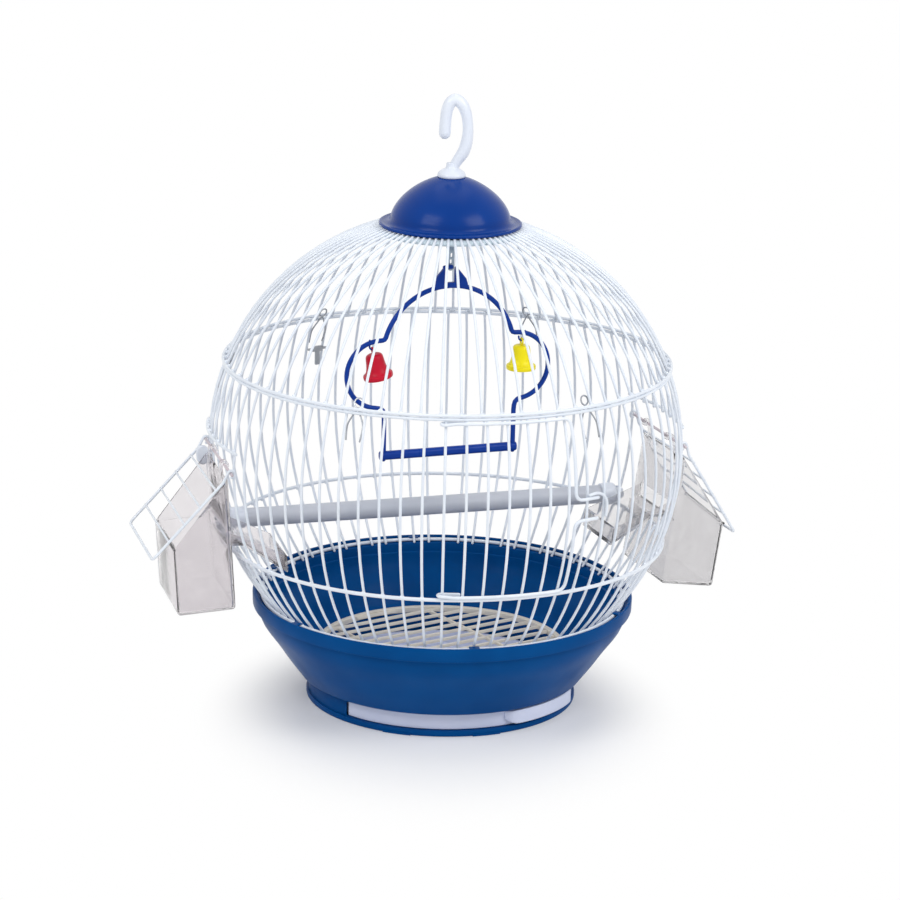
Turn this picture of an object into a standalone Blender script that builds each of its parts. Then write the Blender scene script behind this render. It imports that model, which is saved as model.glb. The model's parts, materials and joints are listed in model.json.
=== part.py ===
"""A round wire canary cage with its base, drawer, feeders, perch and swing.

Every size below is in millimetres. The origin is the middle of the base's underside, +Z is up, the door and the
drawer face -Y, and a bearing is an angle in degrees from the front, positive towards +X.
The wire wall is a sphere of upright wires on level rings. It comes in two halves, a lower cage and an upper dome,
which clips join at the double ring.
"""

import math

import bmesh
import bpy
from mathutils import Matrix, Vector

MM = 0.001
GAP = 0.3  # what touching pieces keep between them

# Base: (radius, height) outside and inside
BASE_SEGMENTS = 36
RIM_R = 134.0
RIM_Z = 76.0
RIM_BAND = 9.5
RIM_LIP = 3.5
BASE_WALL = 2.4
SHOULDER_R = 116.5
SHOULDER_Z = 45.0
WAIST_R = 101.0
WAIST_Z = 18.6
FOOT_R = 95.5
FOOT_SILL = 4.3
FOOT_WALL_R = 93.8
FLOOR = 2.0
SHELF_Z = 31.0
SHELF_R = 85.0
RUNNER_W = 3.0
RUNNER_X = 48.0
TAB_COUNT = 6
TAB_TURN = 175.0
TAB_W = 7.0

# The wire sphere, which stands with its bottom ring inside the base's rim
SPHERE_R = 165.0
WIRE_COUNT = 72
WIRE_D = 1.9
RING_D = 2.5
RING_OUT = 0.5  # the rings lie a little outside the uprights
WIRE_STEP_DEG = 15.0  # most that a straight length of wire turns
RING_INSET = 8.91  # from the rim's face in to the bottom ring
RING_SUNK = 1.8  # from the rim's top down to it
BOTTOM_RING_R = RIM_R - RING_INSET
BOTTOM_RING_Z = RIM_Z - RING_SUNK
SPHERE_Z = BOTTOM_RING_Z + math.sqrt(SPHERE_R**2 - BOTTOM_RING_R**2)
LOW_RING_LATITUDE = -22.9
LOW_RING_Z = SPHERE_Z + SPHERE_R * math.sin(math.radians(LOW_RING_LATITUDE))
JOIN_LATITUDE = 21.7
JOIN_Z = SPHERE_Z + SPHERE_R * math.sin(math.radians(JOIN_LATITUDE))
JOIN_SPACING = 3.2  # between the two rings where the halves meet
CROWN_R = 50.5
CROWN_DROP = 1.0  # the wires run flatter than the sphere under the cap
CROWN_Z = SPHERE_Z + math.sqrt(SPHERE_R**2 - CROWN_R**2) - CROWN_DROP

# Drawer
SLOT_HALF_DEG = 58.5
SLOT_TOP = 17.3
TRAY_WALL = 1.8
TRAY_BACK_R = 88.5
TRAY_TRAVEL = 130.0
PULL_FROM_DEG = 14.0
PULL_TO_DEG = 57.0
PULL_OUT = 5.5
PULL_T = 2.2

# Floor grille
GRILLE_R = 89.5
GRILLE_BAND = 4.0
GRILLE_H = 4.0
GRILLE_BAR = 2.0
GRILLE_PITCH = 12.0
GRILLE_TURN = 20.0
GRILLE_CROSS = 40.0

# Cap, crown plate and hook
BRIM_R = 49.5
BRIM_T = 1.6
DOME_R = 41.0
DOME_H = 29.0
CAP_WALL = 1.8
CAP_SEGMENTS = 24
PLATE_R = 52.0
PLATE_T = 1.8
STEM_R = 1.7
NUT_R = 5.5
NUT_H = 3.6
FLANGE_R = 9.6
FLANGE_H = 5.4
HOOK_D = 7.4
HOOK_HALF_W = 7.7
HOOK_HALF_H = 22.2
HOOK_TURN = -15.0

# Door
DOOR_HALF_DEG = 15.0
DOOR_ROD_DEG = 16.3
DOOR_D = 2.3
DOOR_OUT = 2.35
DOOR_BAR_OUT = 0.7
DOOR_GAP = 2.9  # between the door's level wires and the rings above and below
DOOR_TOP_Z = JOIN_Z - JOIN_SPACING / 2 - DOOR_GAP
DOOR_LOW_Z = LOW_RING_Z + DOOR_GAP
DOOR_CORNER = 6.0
HAIRPIN_R = 2.9
HAIRPIN_TAIL = 11.0
FINGER_TIP_DEG = 22.5
FINGER_TOP_Z = SPHERE_Z + 2.8
FINGER_LOW_Z = SPHERE_Z - 11.4
CATCH_D = 2.2

# Feeders: bearing, lean, how far the back hangs inside and below the rail, and how far the flap is raised from the
# front edge that it rests on, in degrees. They differ a little from side to side.
FEEDERS = {
    "left": {"bearing": -90.0, "lean": 3.7, "inset": 5.7, "hang": 5.1, "lift": 7.2},
    "right": {"bearing": 95.0, "lean": 8.3, "inset": 9.3, "hang": 9.1, "lift": 0.2},
}
FEEDER_HALF_DEG = 15.0  # half the width of the opening that it fills
FEEDER_W = 75.0
FEEDER_DEPTH = 40.5
FEEDER_BACK_H = 94.0
FEEDER_FRONT_H = 47.3
FEEDER_WALL = 1.6
TROUGH_W = 54.0
TROUGH_REACH = 39.8
TROUGH_MOUTH = 11.6  # the height of the trough's mouth over its floor, at the hopper
TROUGH_FALL = 22.4  # how far its rim falls to the end
TROUGH_OVER_RING = 6.6  # its floor above the low ring
TROUGH_SADDLE = 10.0
TROUGH_DEPTH = 12.5
EAR_W = 6.0
EAR_AT = 20.0
LINTEL_Z = SPHERE_Z + 14.2
RAIL_D = 2.0
RAIL_Z = SPHERE_Z - 0.3
# the rail lies across the outside of the two uprights at the opening's edges
RAIL_R = SPHERE_R * math.cos(math.radians(FEEDER_HALF_DEG)) + WIRE_D / 2 + RAIL_D / 2 + GAP + 0.07
RAIL_HALF_L = 49.0
FLAP_HALF_W = 45.5
FLAP_L = 79.0
FLAP_D = 2.0
FLAP_RODS = 4
FLAP_ROD_PITCH = 15.7
FLAP_EYE_R = 2.4
FLAP_FOOT = 8.0  # where the flap's side wires start, from the rail

# Perch
PERCH_R = 6.5
PERCH_BORE = 5.2
PERCH_CAP_R = 7.3
PERCH_CAP_L = 13.0
PERCH_NOSE_R = 5.4
PERCH_NOSE_OUT = 3.2
PERCH_SLIT = 4.0
PERCH_PLUG_L = 8.0
PERCH_LEFT_DEG = -105.0
PERCH_RIGHT_DEG = 110.0

# Swing, hanging in its own plane: x across, z up
SWING_TURN = 5.0
SWING_D = 3.4
HANGER_DROP = 26.9  # from the crown ring down to the pivot
PIVOT_Z = CROWN_Z - HANGER_DROP
PIVOT_D = 3.0
HANGER_W = 6.4
HANGER_T = 1.6
LUG_HALF_W = 12.3
LUG_TOP_HALF_W = 5.2
LUG_Z = PIVOT_Z - 16.5
LUG_T = 3.4
SLOT_W = 7.3
ARCH_R = 48.5
ARCH_Z = LUG_Z - math.sqrt(ARCH_R**2 - LUG_HALF_W**2)
CORNER_DEG = 17.0
BULGE_X = 49.0
BULGE_Z = ARCH_Z - 10.0
BULGE_R = 23.0
LEG_X = 47.0
SWING_PERCH_Z = BULGE_Z - 60.0
SWING_PERCH_D = 6.4
SWING_PERCH_HALF_L = 51.0

# Bells, hung on small hooks under the swing's corners
LINK_R = 2.3
LINK_D = 1.3
LINK_X = 55.0
BELL_H = 17.5
BELL_FLARE_R = 10.3
BELL_TOP_R = 5.8
BELL_WALL = 1.1
BELL_SEGMENTS = 12
CLAPPER_R = 2.0
CLAPPER_L = BELL_H - 6.5

# Clips on the double ring, and the treat holder
CLIP_COUNT = 6
CLIP_TURN = 22.5
CLIP_D = 1.4
TREAT_DEG = -157.5
TREAT_Z = SPHERE_Z + 33.2

WHITE = (0.86, 0.90, 0.94)
COLOURS = {
    "wire": (WHITE, 0.35, 0.0),
    "blue": ((0.0, 0.08, 0.29), 0.3, 0.0),
    "swing_blue": ((0.004, 0.06, 0.33), 0.35, 0.0),
    "tray": ((0.63, 0.69, 0.86), 0.4, 0.0),
    "cream": ((0.69, 0.66, 0.60), 0.5, 0.0),
    "hook": ((0.80, 0.85, 0.90), 0.35, 0.0),
    "clear": ((0.62, 0.60, 0.60), 0.15, 0.0),
    "grey": ((0.60, 0.64, 0.68), 0.4, 0.0),
    "red": ((0.60, 0.01, 0.04), 0.3, 0.0),
    "yellow": ((0.90, 0.80, 0.02), 0.3, 0.0),
    "steel": ((0.55, 0.56, 0.58), 0.3, 1.0),
}


def sin_deg(angle):
    return math.sin(math.radians(angle))


def cos_deg(angle):
    return math.cos(math.radians(angle))


def polar(radius, bearing, z):
    return Vector((radius * sin_deg(bearing), -radius * cos_deg(bearing), z))


def side_frame(bearing):
    """Axes at a bearing: X points out from the cage's axis, Y along its wall, Z up."""
    return Matrix.Rotation(math.radians(bearing - 90.0), 4, "Z")


def latitude(z):
    return math.degrees(math.asin((z - SPHERE_Z) / SPHERE_R))


def on_wall(bearing, z, out=0.0):
    """A point this far outside the wire sphere, level with z on the sphere."""
    lat = latitude(z)
    radius = (SPHERE_R + out) * cos_deg(lat)
    return polar(radius, bearing, SPHERE_Z + (SPHERE_R + out) * sin_deg(lat))


def mix(a, b, share):
    return a + (b - a) * share


def material(name):
    made = bpy.data.materials.get(name)
    if made:
        return made
    colour, roughness, metallic = COLOURS[name]
    made = bpy.data.materials.new(name)
    made.use_nodes = True
    shader = made.node_tree.nodes["Principled BSDF"]
    shader.inputs["Base Color"].default_value = (*colour, 1.0)
    shader.inputs["Roughness"].default_value = roughness
    shader.inputs["Metallic"].default_value = metallic
    return made


def finish_mesh(bm, name):
    """A mesh in metres from a bmesh in millimetres, with its faces pointing out."""
    bmesh.ops.recalc_face_normals(bm, faces=bm.faces)
    bmesh.ops.scale(bm, vec=(MM, MM, MM), verts=bm.verts)
    mesh = bpy.data.meshes.new(name)
    bm.to_mesh(mesh)
    bm.free()
    return mesh


def joint_empty(name, at, parent=None):
    """An empty that stands on a joint's axis and carries what moves with it."""
    empty = bpy.data.objects.new(name, None)
    empty.empty_display_size = 0.02
    bpy.context.scene.collection.objects.link(empty)
    empty.location = Vector(at) * MM
    if parent:
        empty.parent = parent
        empty.location -= world_place(parent)
    return empty


def world_place(obj):
    place = obj.location.copy()
    while obj.parent:
        obj = obj.parent
        place += obj.location
    return place


def piece(name, mesh, look, carrier, smooth=30.0):
    """A named object from a mesh in the cage's own coordinates, carried by an empty that holds its origin."""
    pivot = world_place(carrier)
    mesh.transform(Matrix.Translation(-pivot))
    mesh.name = name
    mesh.materials.clear()
    mesh.materials.append(material(look))
    obj = bpy.data.objects.new(name, mesh)
    bpy.context.scene.collection.objects.link(obj)
    obj.parent = carrier
    mesh.shade_smooth()
    mesh.set_sharp_from_angle(angle=math.radians(smooth))
    return obj


def combined(first, second, operation):
    """The Boolean of two meshes as one mesh."""
    scene = bpy.context.scene.collection
    body = bpy.data.objects.new("body", first)
    tool = bpy.data.objects.new("tool", second)
    scene.objects.link(body)
    scene.objects.link(tool)
    tool.hide_render = True
    modifier = body.modifiers.new("cut", "BOOLEAN")
    modifier.operation = operation
    modifier.object = tool
    modifier.solver = "EXACT"
    graph = bpy.context.evaluated_depsgraph_get()
    made = bpy.data.meshes.new_from_object(body.evaluated_get(graph))
    bpy.data.objects.remove(body)
    bpy.data.objects.remove(tool)
    return made


def joined(*meshes):
    made = meshes[0]
    for mesh in meshes[1:]:
        made = combined(made, mesh, "UNION")
    return made


def cut(mesh, *cutters):
    for cutter in cutters:
        mesh = combined(mesh, cutter, "DIFFERENCE")
    return mesh


def loft(loops, closed=False, caps=True):
    """A skin over loops of points, each with the same number of points."""
    bm = bmesh.new()
    rings = [[bm.verts.new(point) for point in loop] for loop in loops]
    count = len(rings[0])
    pairs = list(zip(rings, rings[1:]))
    if closed:
        pairs.append((rings[-1], rings[0]))
    for low, high in pairs:
        for i in range(count):
            j = (i + 1) % count
            bm.faces.new((low[i], low[j], high[j], high[i]))
    if caps and not closed:
        bm.faces.new(rings[0][::-1])
        bm.faces.new(rings[-1])
    return bm


def turned(profile, segments, name="turned"):
    """A solid of revolution about Z from a closed (radius, z) outline, which may touch the axis."""
    bm = bmesh.new()
    angles = [360.0 * i / segments for i in range(segments)]
    columns = []
    for radius, z in profile:
        if radius < 1e-6:
            pole = bm.verts.new((0.0, 0.0, z))
            columns.append([pole] * segments)
        else:
            columns.append([bm.verts.new(polar(radius, a, z)) for a in angles])
    for k, here in enumerate(columns):
        there = columns[(k + 1) % len(columns)]
        for i in range(segments):
            j = (i + 1) % segments
            corners = []
            for vert in (here[i], here[j], there[j], there[i]):
                if vert not in corners:
                    corners.append(vert)
            if len(corners) > 2:
                bm.faces.new(corners)
    return finish_mesh(bm, name)


def prism(outline, low, high, frame=None, axes="XZ", name="prism"):
    """An outline of (a, b) points in one plane, drawn out along the third axis from low to high."""
    place = {
        "XZ": lambda a, b, c: Vector((a, c, b)),
        "XY": lambda a, b, c: Vector((a, b, c)),
        "YZ": lambda a, b, c: Vector((c, a, b)),
    }[axes]
    bm = loft([[place(a, b, c) for a, b in outline] for c in (low, high)])
    if frame:
        bmesh.ops.transform(bm, matrix=frame, verts=bm.verts)
    return finish_mesh(bm, name)


def box(low, high, frame=None):
    outline = [(low[0], low[1]), (high[0], low[1]), (high[0], high[1]), (low[0], high[1])]
    return prism(outline, low[2], high[2], frame, "XY")


def rod(points, diameter, sides=6, closed=False, twist=0.5, name="rod"):
    """A bent wire of round section, with its corners on the true diameter, along a list of points."""
    points = [Vector(p) for p in points]
    count = len(points)
    loops = []
    normal = None
    for i, point in enumerate(points):
        before = points[i - 1] if i or closed else point
        after = points[(i + 1) % count] if i + 1 < count or closed else point
        along = (after - before).normalized()
        if normal is None:
            guide = Vector((0, 0, 1)) if abs(along.z) < 0.8 else Vector((1, 0, 0))
            normal = along.cross(guide).normalized()
        normal = (normal - along * normal.dot(along)).normalized()
        side = along.cross(normal)
        loops.append([])
        for k in range(sides):
            turn = 2 * math.pi * (k + twist) / sides
            spoke = normal * math.cos(turn) + side * math.sin(turn)
            loops[-1].append(point + spoke * diameter / 2)
    return finish_mesh(loft(loops, closed), name)


def arc(centre, radius, start, end, steps):
    """Points (a, b) on an arc, with angles in degrees."""
    angles = [mix(start, end, i / steps) for i in range(steps + 1)]
    return [(centre[0] + radius * cos_deg(a), centre[1] + radius * sin_deg(a)) for a in angles]


# Each ring of the wire wall is a closed or open band of sections. An upright joins it at a pair of sections.


class Ring:
    """A level ring of the wire wall, or an arc of one, as the sections that the uprights grow from."""

    SQUARE = ((-1, -1), (1, -1), (1, 1), (-1, 1))
    FLAT_OUT = ((-1, 0), (1, -1), (1, 1))
    FLAT_TOP = ((0, -1), (1, 1), (-1, 1))
    FLAT_BASE = ((-1, -1), (1, -1), (0, 1))
    SOCKETS = {
        (SQUARE, "up"): (3, 2),
        (SQUARE, "down"): (0, 1),
        (FLAT_OUT, "outer"): (1, 2),
        (FLAT_TOP, "up"): (2, 1),
        (FLAT_BASE, "down"): (0, 1),
    }

    def __init__(self, bm, radius, z, bearings, span=None, shape=SQUARE):
        self.z = z
        self.bm = bm
        self.radius = radius
        self.shape = shape
        self.span = span
        self.bearings = [b for b in bearings if self.covers(b)]
        half = math.degrees(math.asin(wire_side() / 2 / radius))
        self.sections = {}
        stops = []
        for bearing in self.bearings:
            stops += [(bearing, -1), (bearing, 1)]
        if span:
            stops = [("start", 0)] + stops + [("end", 0)]
        for stop in stops:
            centre, sign = stop
            angle = {"start": span and span[0], "end": span and span[1]}.get(centre, None)
            angle = centre + sign * half if angle is None else angle
            self.sections[stop] = self.section(angle)
        self.stops = stops
        self.open_faces = set()

    def covers(self, bearing):
        return not self.span or self.span[0] < bearing < self.span[1]

    def section(self, angle):
        half = ring_side() / 2
        return [self.bm.verts.new(polar(self.radius + dr * half, angle, self.z + dz * half)) for dr, dz in self.shape]

    def socket(self, bearing, kind):
        """The four corners that an upright grows from: inner and outer on one side, outer and inner on the other."""
        inner, outer = self.SOCKETS[(self.shape, kind)]
        self.open_faces.add((bearing, min(inner, outer)))
        one, two = self.sections[(bearing, -1)], self.sections[(bearing, 1)]
        return [one[inner], one[outer], two[outer], two[inner]]

    def skin(self):
        pairs = list(zip(self.stops, self.stops[1:]))
        if not self.span:
            pairs.append((self.stops[-1], self.stops[0]))
        corners = len(self.shape)
        for here, there in pairs:
            inside_socket = here[0] == there[0]
            for k in range(corners):
                if inside_socket and (here[0], k) in self.open_faces:
                    continue
                n = (k + 1) % corners
                one, two = self.sections[here], self.sections[there]
                self.bm.faces.new((one[k], one[n], two[n], two[k]))
        if self.span:
            self.bm.faces.new(self.sections[self.stops[0]][::-1])
            self.bm.faces.new(self.sections[self.stops[-1]])


def wire_side():
    """The side of a square wire with the section of the round one."""
    return WIRE_D * math.sqrt(math.pi) / 2


def ring_side():
    return RING_D * math.sqrt(math.pi) / 2


def wall_radius(z):
    return SPHERE_R * cos_deg(latitude(z))


def wire_section(bm, bearing, lat):
    """Four corners of an upright at a bend, half a sag outside the sphere, in the order that Ring.socket gives."""
    half = wire_side() / 2
    sag = SPHERE_R * (1.0 - cos_deg(WIRE_STEP_DEG / 2)) / 2
    radius = SPHERE_R + sag
    centre = polar(radius * cos_deg(lat), bearing, SPHERE_Z + radius * sin_deg(lat))
    out = polar(cos_deg(lat), bearing, sin_deg(lat))
    along = Vector((cos_deg(bearing), sin_deg(bearing), 0.0))
    corners = [(-1, -1), (1, -1), (1, 1), (-1, 1)]
    return [bm.verts.new(centre + out * half * o + along * half * a) for o, a in corners]


def upright(bm, bearing, start, end, start_z, end_z):
    """A wire grown from one socket to another along its meridian, in straight lengths."""
    low, high = latitude(start_z), latitude(end_z)
    steps = max(1, round((high - low) / WIRE_STEP_DEG))
    loops = [start]
    for i in range(1, steps):
        loops.append(wire_section(bm, bearing, mix(low, high, i / steps)))
    loops.append(end)
    for one, two in zip(loops, loops[1:]):
        for k in range(4):
            n = (k + 1) % 4
            bm.faces.new((one[k], one[n], two[n], two[k]))


def bearings():
    return [360.0 * i / WIRE_COUNT - 180.0 for i in range(WIRE_COUNT)]


def apart(bearing, centre):
    return abs((bearing - centre + 180.0) % 360.0 - 180.0)


def in_door(bearing):
    return apart(bearing, 0.0) < DOOR_HALF_DEG - 0.1


def in_feeder(bearing):
    return any(apart(bearing, side["bearing"]) < FEEDER_HALF_DEG - 0.1 for side in FEEDERS.values())


def lower_cage():
    """The wall from the bottom ring to the double ring, open at the door and at the feeders."""
    bm = bmesh.new()
    every = bearings()
    low_join = JOIN_Z - JOIN_SPACING / 2
    bottom = Ring(bm, wall_radius(BOTTOM_RING_Z) + RING_OUT, BOTTOM_RING_Z, every, shape=Ring.FLAT_TOP)
    low = Ring(bm, wall_radius(LOW_RING_Z) + RING_OUT, LOW_RING_Z, every)
    join = Ring(bm, wall_radius(low_join) + RING_OUT, low_join, every, shape=Ring.FLAT_BASE)
    lintels = []
    for side in FEEDERS.values():
        reach = FEEDER_HALF_DEG + 2.0
        span = (side["bearing"] - reach, side["bearing"] + reach)
        lintels.append(Ring(bm, wall_radius(LINTEL_Z) + RING_OUT, LINTEL_Z, every, span))
    for bearing in every:
        upright(bm, bearing, bottom.socket(bearing, "up"), low.socket(bearing, "down"), bottom.z, low.z)
        crossing = [ring for ring in lintels if ring.covers(bearing)]
        if crossing:
            lintel = crossing[0]
            if not in_feeder(bearing):
                upright(bm, bearing, low.socket(bearing, "up"), lintel.socket(bearing, "down"), low.z, lintel.z)
            upright(bm, bearing, lintel.socket(bearing, "up"), join.socket(bearing, "down"), lintel.z, join.z)
        elif not in_door(bearing):
            upright(bm, bearing, low.socket(bearing, "up"), join.socket(bearing, "down"), low.z, join.z)
    for ring in (bottom, low, join, *lintels):
        ring.skin()
    return finish_mesh(bm, "lower_cage")


def upper_dome():
    """The wall from the double ring up to the ring under the cap."""
    bm = bmesh.new()
    every = bearings()
    high_join = JOIN_Z + JOIN_SPACING / 2
    join = Ring(bm, wall_radius(high_join) + RING_OUT, high_join, every, shape=Ring.FLAT_TOP)
    crown = Ring(bm, CROWN_R, CROWN_Z, every, shape=Ring.FLAT_OUT)
    for bearing in every:
        upright(bm, bearing, join.socket(bearing, "up"), crown.socket(bearing, "outer"), join.z, crown.z)
    join.skin()
    crown.skin()
    return finish_mesh(bm, "upper_dome")


def base_ledge_z():
    """The cage's bottom ring rests here, inside the rim."""
    return BOTTOM_RING_Z - RING_D / 2 - GAP


def base_bowl():
    """The bowl, with a foot that has the drawer's slot, runners for the drawer and tabs that hold the wire in."""
    ledge_r = BOTTOM_RING_R - 0.5
    under_rim = RIM_Z - RIM_BAND
    outline = [
        (0, 0),
        (FOOT_R, 0),
        (FOOT_R, FOOT_SILL),
        (FOOT_WALL_R, FOOT_SILL),
        (FOOT_WALL_R, SLOT_TOP),
        (WAIST_R, WAIST_Z),
        (mix(WAIST_R, SHOULDER_R, 0.58), mix(WAIST_Z, SHOULDER_Z, 0.5)),
        (SHOULDER_R, SHOULDER_Z),
        (RIM_R - RIM_LIP - 1.5, under_rim - 6.0),
        (RIM_R - RIM_LIP, under_rim),
        (RIM_R, under_rim),
        (RIM_R, RIM_Z),
        (RIM_R - BASE_WALL, RIM_Z),
        (RIM_R - BASE_WALL, base_ledge_z()),
        (ledge_r, base_ledge_z()),
        (ledge_r, under_rim - 6.0),
        (SHOULDER_R - BASE_WALL, SHOULDER_Z + 1.2),
        (mix(WAIST_R, SHOULDER_R, 0.58) - BASE_WALL, SHELF_Z),
        (SHELF_R, SHELF_Z),
        (SHELF_R, SHELF_Z - BASE_WALL),
        (FOOT_WALL_R - BASE_WALL, SLOT_TOP + 2.0),
        (FOOT_WALL_R - BASE_WALL, FLOOR),
        (0, FLOOR),
    ]
    bowl = turned(outline, BASE_SEGMENTS, "base_bowl")
    slot_half = FOOT_WALL_R * sin_deg(SLOT_HALF_DEG)
    bowl = cut(bowl, box((-slot_half, -FOOT_R - 10.0, FOOT_SILL), (slot_half, -30.0, SLOT_TOP - 0.2)))
    inner = FOOT_WALL_R - BASE_WALL
    for x in (-RUNNER_X, RUNNER_X):
        half = RUNNER_W / 2
        run = math.sqrt(inner**2 - RUNNER_X**2) + 0.5
        runner = box((x - half, -run, FLOOR - 0.5), (x + half, run, FOOT_SILL))
        bowl = joined(bowl, runner)
    for i in range(TAB_COUNT):
        frame = side_frame(TAB_TURN + 360.0 * i / TAB_COUNT)
        outer = RIM_R - BASE_WALL + 0.6
        ring_top = BOTTOM_RING_Z + RING_D / 2 + GAP
        reach = BOTTOM_RING_R + 2.6
        tab = [(outer, ring_top - 1.0), (outer, RIM_Z - 0.3), (outer - 1.6, RIM_Z - 0.3), (reach, ring_top + 0.4)]
        bowl = joined(bowl, prism(tab + [(reach, ring_top - 0.4)], -TAB_W / 2, TAB_W / 2, frame))
    return bowl


def tray_outline(inset):
    """The drawer seen from above: a curved front, straight sides and a curved back."""
    front_r = FOOT_WALL_R - 0.8 - inset
    back_r = TRAY_BACK_R - inset
    half_w = (FOOT_WALL_R - 0.8) * sin_deg(SLOT_HALF_DEG - 1.0) - inset
    front_deg = math.degrees(math.asin(half_w / front_r))
    back_deg = math.degrees(math.asin(half_w / back_r))
    front = [(front_r * sin_deg(a), -front_r * cos_deg(a)) for a in [front_deg * k / 5 for k in range(-5, 6)]]
    back = [(back_r * sin_deg(a), back_r * cos_deg(a)) for a in [back_deg * k / 4 for k in range(4, -5, -1)]]
    return front + back


def tray():
    """The drawer that slides out of the foot, with a pull on the right of its front."""
    low = FOOT_SILL + GAP
    top = SLOT_TOP - 0.8
    body = prism(tray_outline(0.0), low, top, axes="XY")
    body = cut(body, prism(tray_outline(TRAY_WALL), low + TRAY_WALL, top + 5.0, axes="XY"))
    steps = 6
    angles = [mix(PULL_FROM_DEG, PULL_TO_DEG, i / steps) for i in range(steps + 1)]
    face_r = FOOT_WALL_R - 0.8
    loops = []
    for i, angle in enumerate(angles):
        drop = 3.0 if i == 0 else 0.0
        out = PULL_OUT * min(1.0, 0.45 + i * 0.55)
        section = [
            (face_r - 0.6, top - 2.6),
            (face_r + out - PULL_T, top - 2.6),
            (face_r + out - PULL_T, low + 2.2 + drop),
            (face_r + out, low + 1.4 + drop),
            (face_r + out, top - 0.6),
            (face_r - 0.6, top - 0.2),
        ]
        loops.append([polar(r, angle, z) for r, z in section])
    return joined(body, finish_mesh(loft(loops), "pull"))


def floor_grille():
    """A ring with parallel bars and two cross bars, which lies on the bowl's shelf."""
    low = SHELF_Z + GAP
    top = low + GRILLE_H
    inner = GRILLE_R - GRILLE_BAND
    outline = [(inner, low), (GRILLE_R, low), (GRILLE_R, top), (inner, top)]
    made = turned(outline, 28, "floor_grille")
    frame = Matrix.Rotation(math.radians(GRILLE_TURN), 4, "Z")
    half = GRILLE_BAR / 2
    bars_top = top - 0.8
    bars_low = bars_top - GRILLE_BAR
    count = int(inner // GRILLE_PITCH)
    bars = []
    for i in range(-count, count + 1):
        y = i * GRILLE_PITCH
        run = math.sqrt(inner**2 - y**2) + GRILLE_BAND / 2
        bars.append(box((-run, y - half, bars_low), (run, y + half, bars_top), frame))
    for x in (-GRILLE_CROSS, GRILLE_CROSS):
        run = math.sqrt(inner**2 - x**2) + GRILLE_BAND / 2
        bars.append(box((x - half, -run, low + 0.2), (x + half, run, bars_low + 0.4), frame))
    return joined(made, *bars)


def brim_z():
    """The cap's brim rests on the wires just outside the crown ring."""
    top_of_wire = SPHERE_Z + math.sqrt((SPHERE_R + WIRE_D / 2) ** 2 - BRIM_R**2)
    return top_of_wire - CROWN_DROP + GAP


def cap_seat_z():
    return brim_z() + BRIM_T + 2.4 + DOME_H


def cap():
    """A hollow dome with a flared brim, and a hole in the middle for the hook's stem."""
    low = brim_z()
    start = low + BRIM_T + 2.4
    hole = STEM_R + 0.5
    outside = [(DOME_R * cos_deg(a), start + DOME_H * sin_deg(a)) for a in (0, 14, 28, 42, 56, 70)]
    outside.append((FLANGE_R + 0.6, cap_seat_z()))
    inside = [(x - CAP_WALL * 1.05, z - CAP_WALL * 0.7) for x, z in outside[::-2]]
    outline = [(BRIM_R, low), (BRIM_R, low + BRIM_T), (DOME_R + 1.5, start - 0.6), *outside]
    outline += [(hole, cap_seat_z()), (hole, cap_seat_z() - CAP_WALL), *inside]
    outline += [(DOME_R - CAP_WALL, low)]
    return turned(outline, CAP_SEGMENTS, "cap")


def plate_top():
    return CROWN_Z - ring_side() / 2 - GAP


def crown_plate():
    """The disc that closes the top of the cage from inside and takes the hook's stem."""
    low = plate_top() - PLATE_T
    hole = STEM_R + 0.4
    outline = [(hole, low), (PLATE_R, low), (PLATE_R, plate_top()), (hole, plate_top())]
    return turned(outline, 28, "crown_plate")


def stem_low():
    return plate_top() - PLATE_T - HANGER_T - NUT_H - 2 * GAP - 2.0


def hook():
    """The carrying hook with its round flange, and the stem that clamps the cap, the dome and the plate."""
    seat = cap_seat_z() + GAP
    neck = HOOK_D / 2 + 0.4
    flange = [
        (0, seat),
        (FLANGE_R - 0.6, seat),
        (FLANGE_R, seat + 0.8),
        (FLANGE_R, seat + 2.4),
        (neck + 1.0, seat + FLANGE_H),
        (neck - 0.6, seat + FLANGE_H + 2.5),
        (0, seat + FLANGE_H + 2.5),
    ]
    frame = Matrix.Rotation(math.radians(HOOK_TURN), 4, "Z")
    middle_z = seat + 32.5
    bend = arc((0, 0), 1.0, -62.0, 183.0, 12)
    path = [(0.0, seat + 2.0), (0.0, seat + FLANGE_H)]
    path += [(1.0 + HOOK_HALF_W * x, middle_z + HOOK_HALF_H * z) for x, z in bend]
    points = [frame @ Vector((x, 0.0, z)) for x, z in path]
    stem = [(0, 0, seat + 1.0), (0, 0, stem_low())]
    return joined(turned(flange, 16, "flange"), rod(points, HOOK_D, 8), rod(stem, 2 * STEM_R, 8))


def hook_nut():
    """The nut under the plate, with the hanger's strap between them."""
    top = plate_top() - PLATE_T - HANGER_T - 2 * GAP
    hole = STEM_R + GAP + 0.2
    outline = [(hole, top - NUT_H), (NUT_R, top - NUT_H), (NUT_R, top), (hole, top)]
    return turned(outline, 6, "hook_nut")


def swing_frame_axes():
    return Matrix.Rotation(math.radians(SWING_TURN), 4, "Z")


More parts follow.
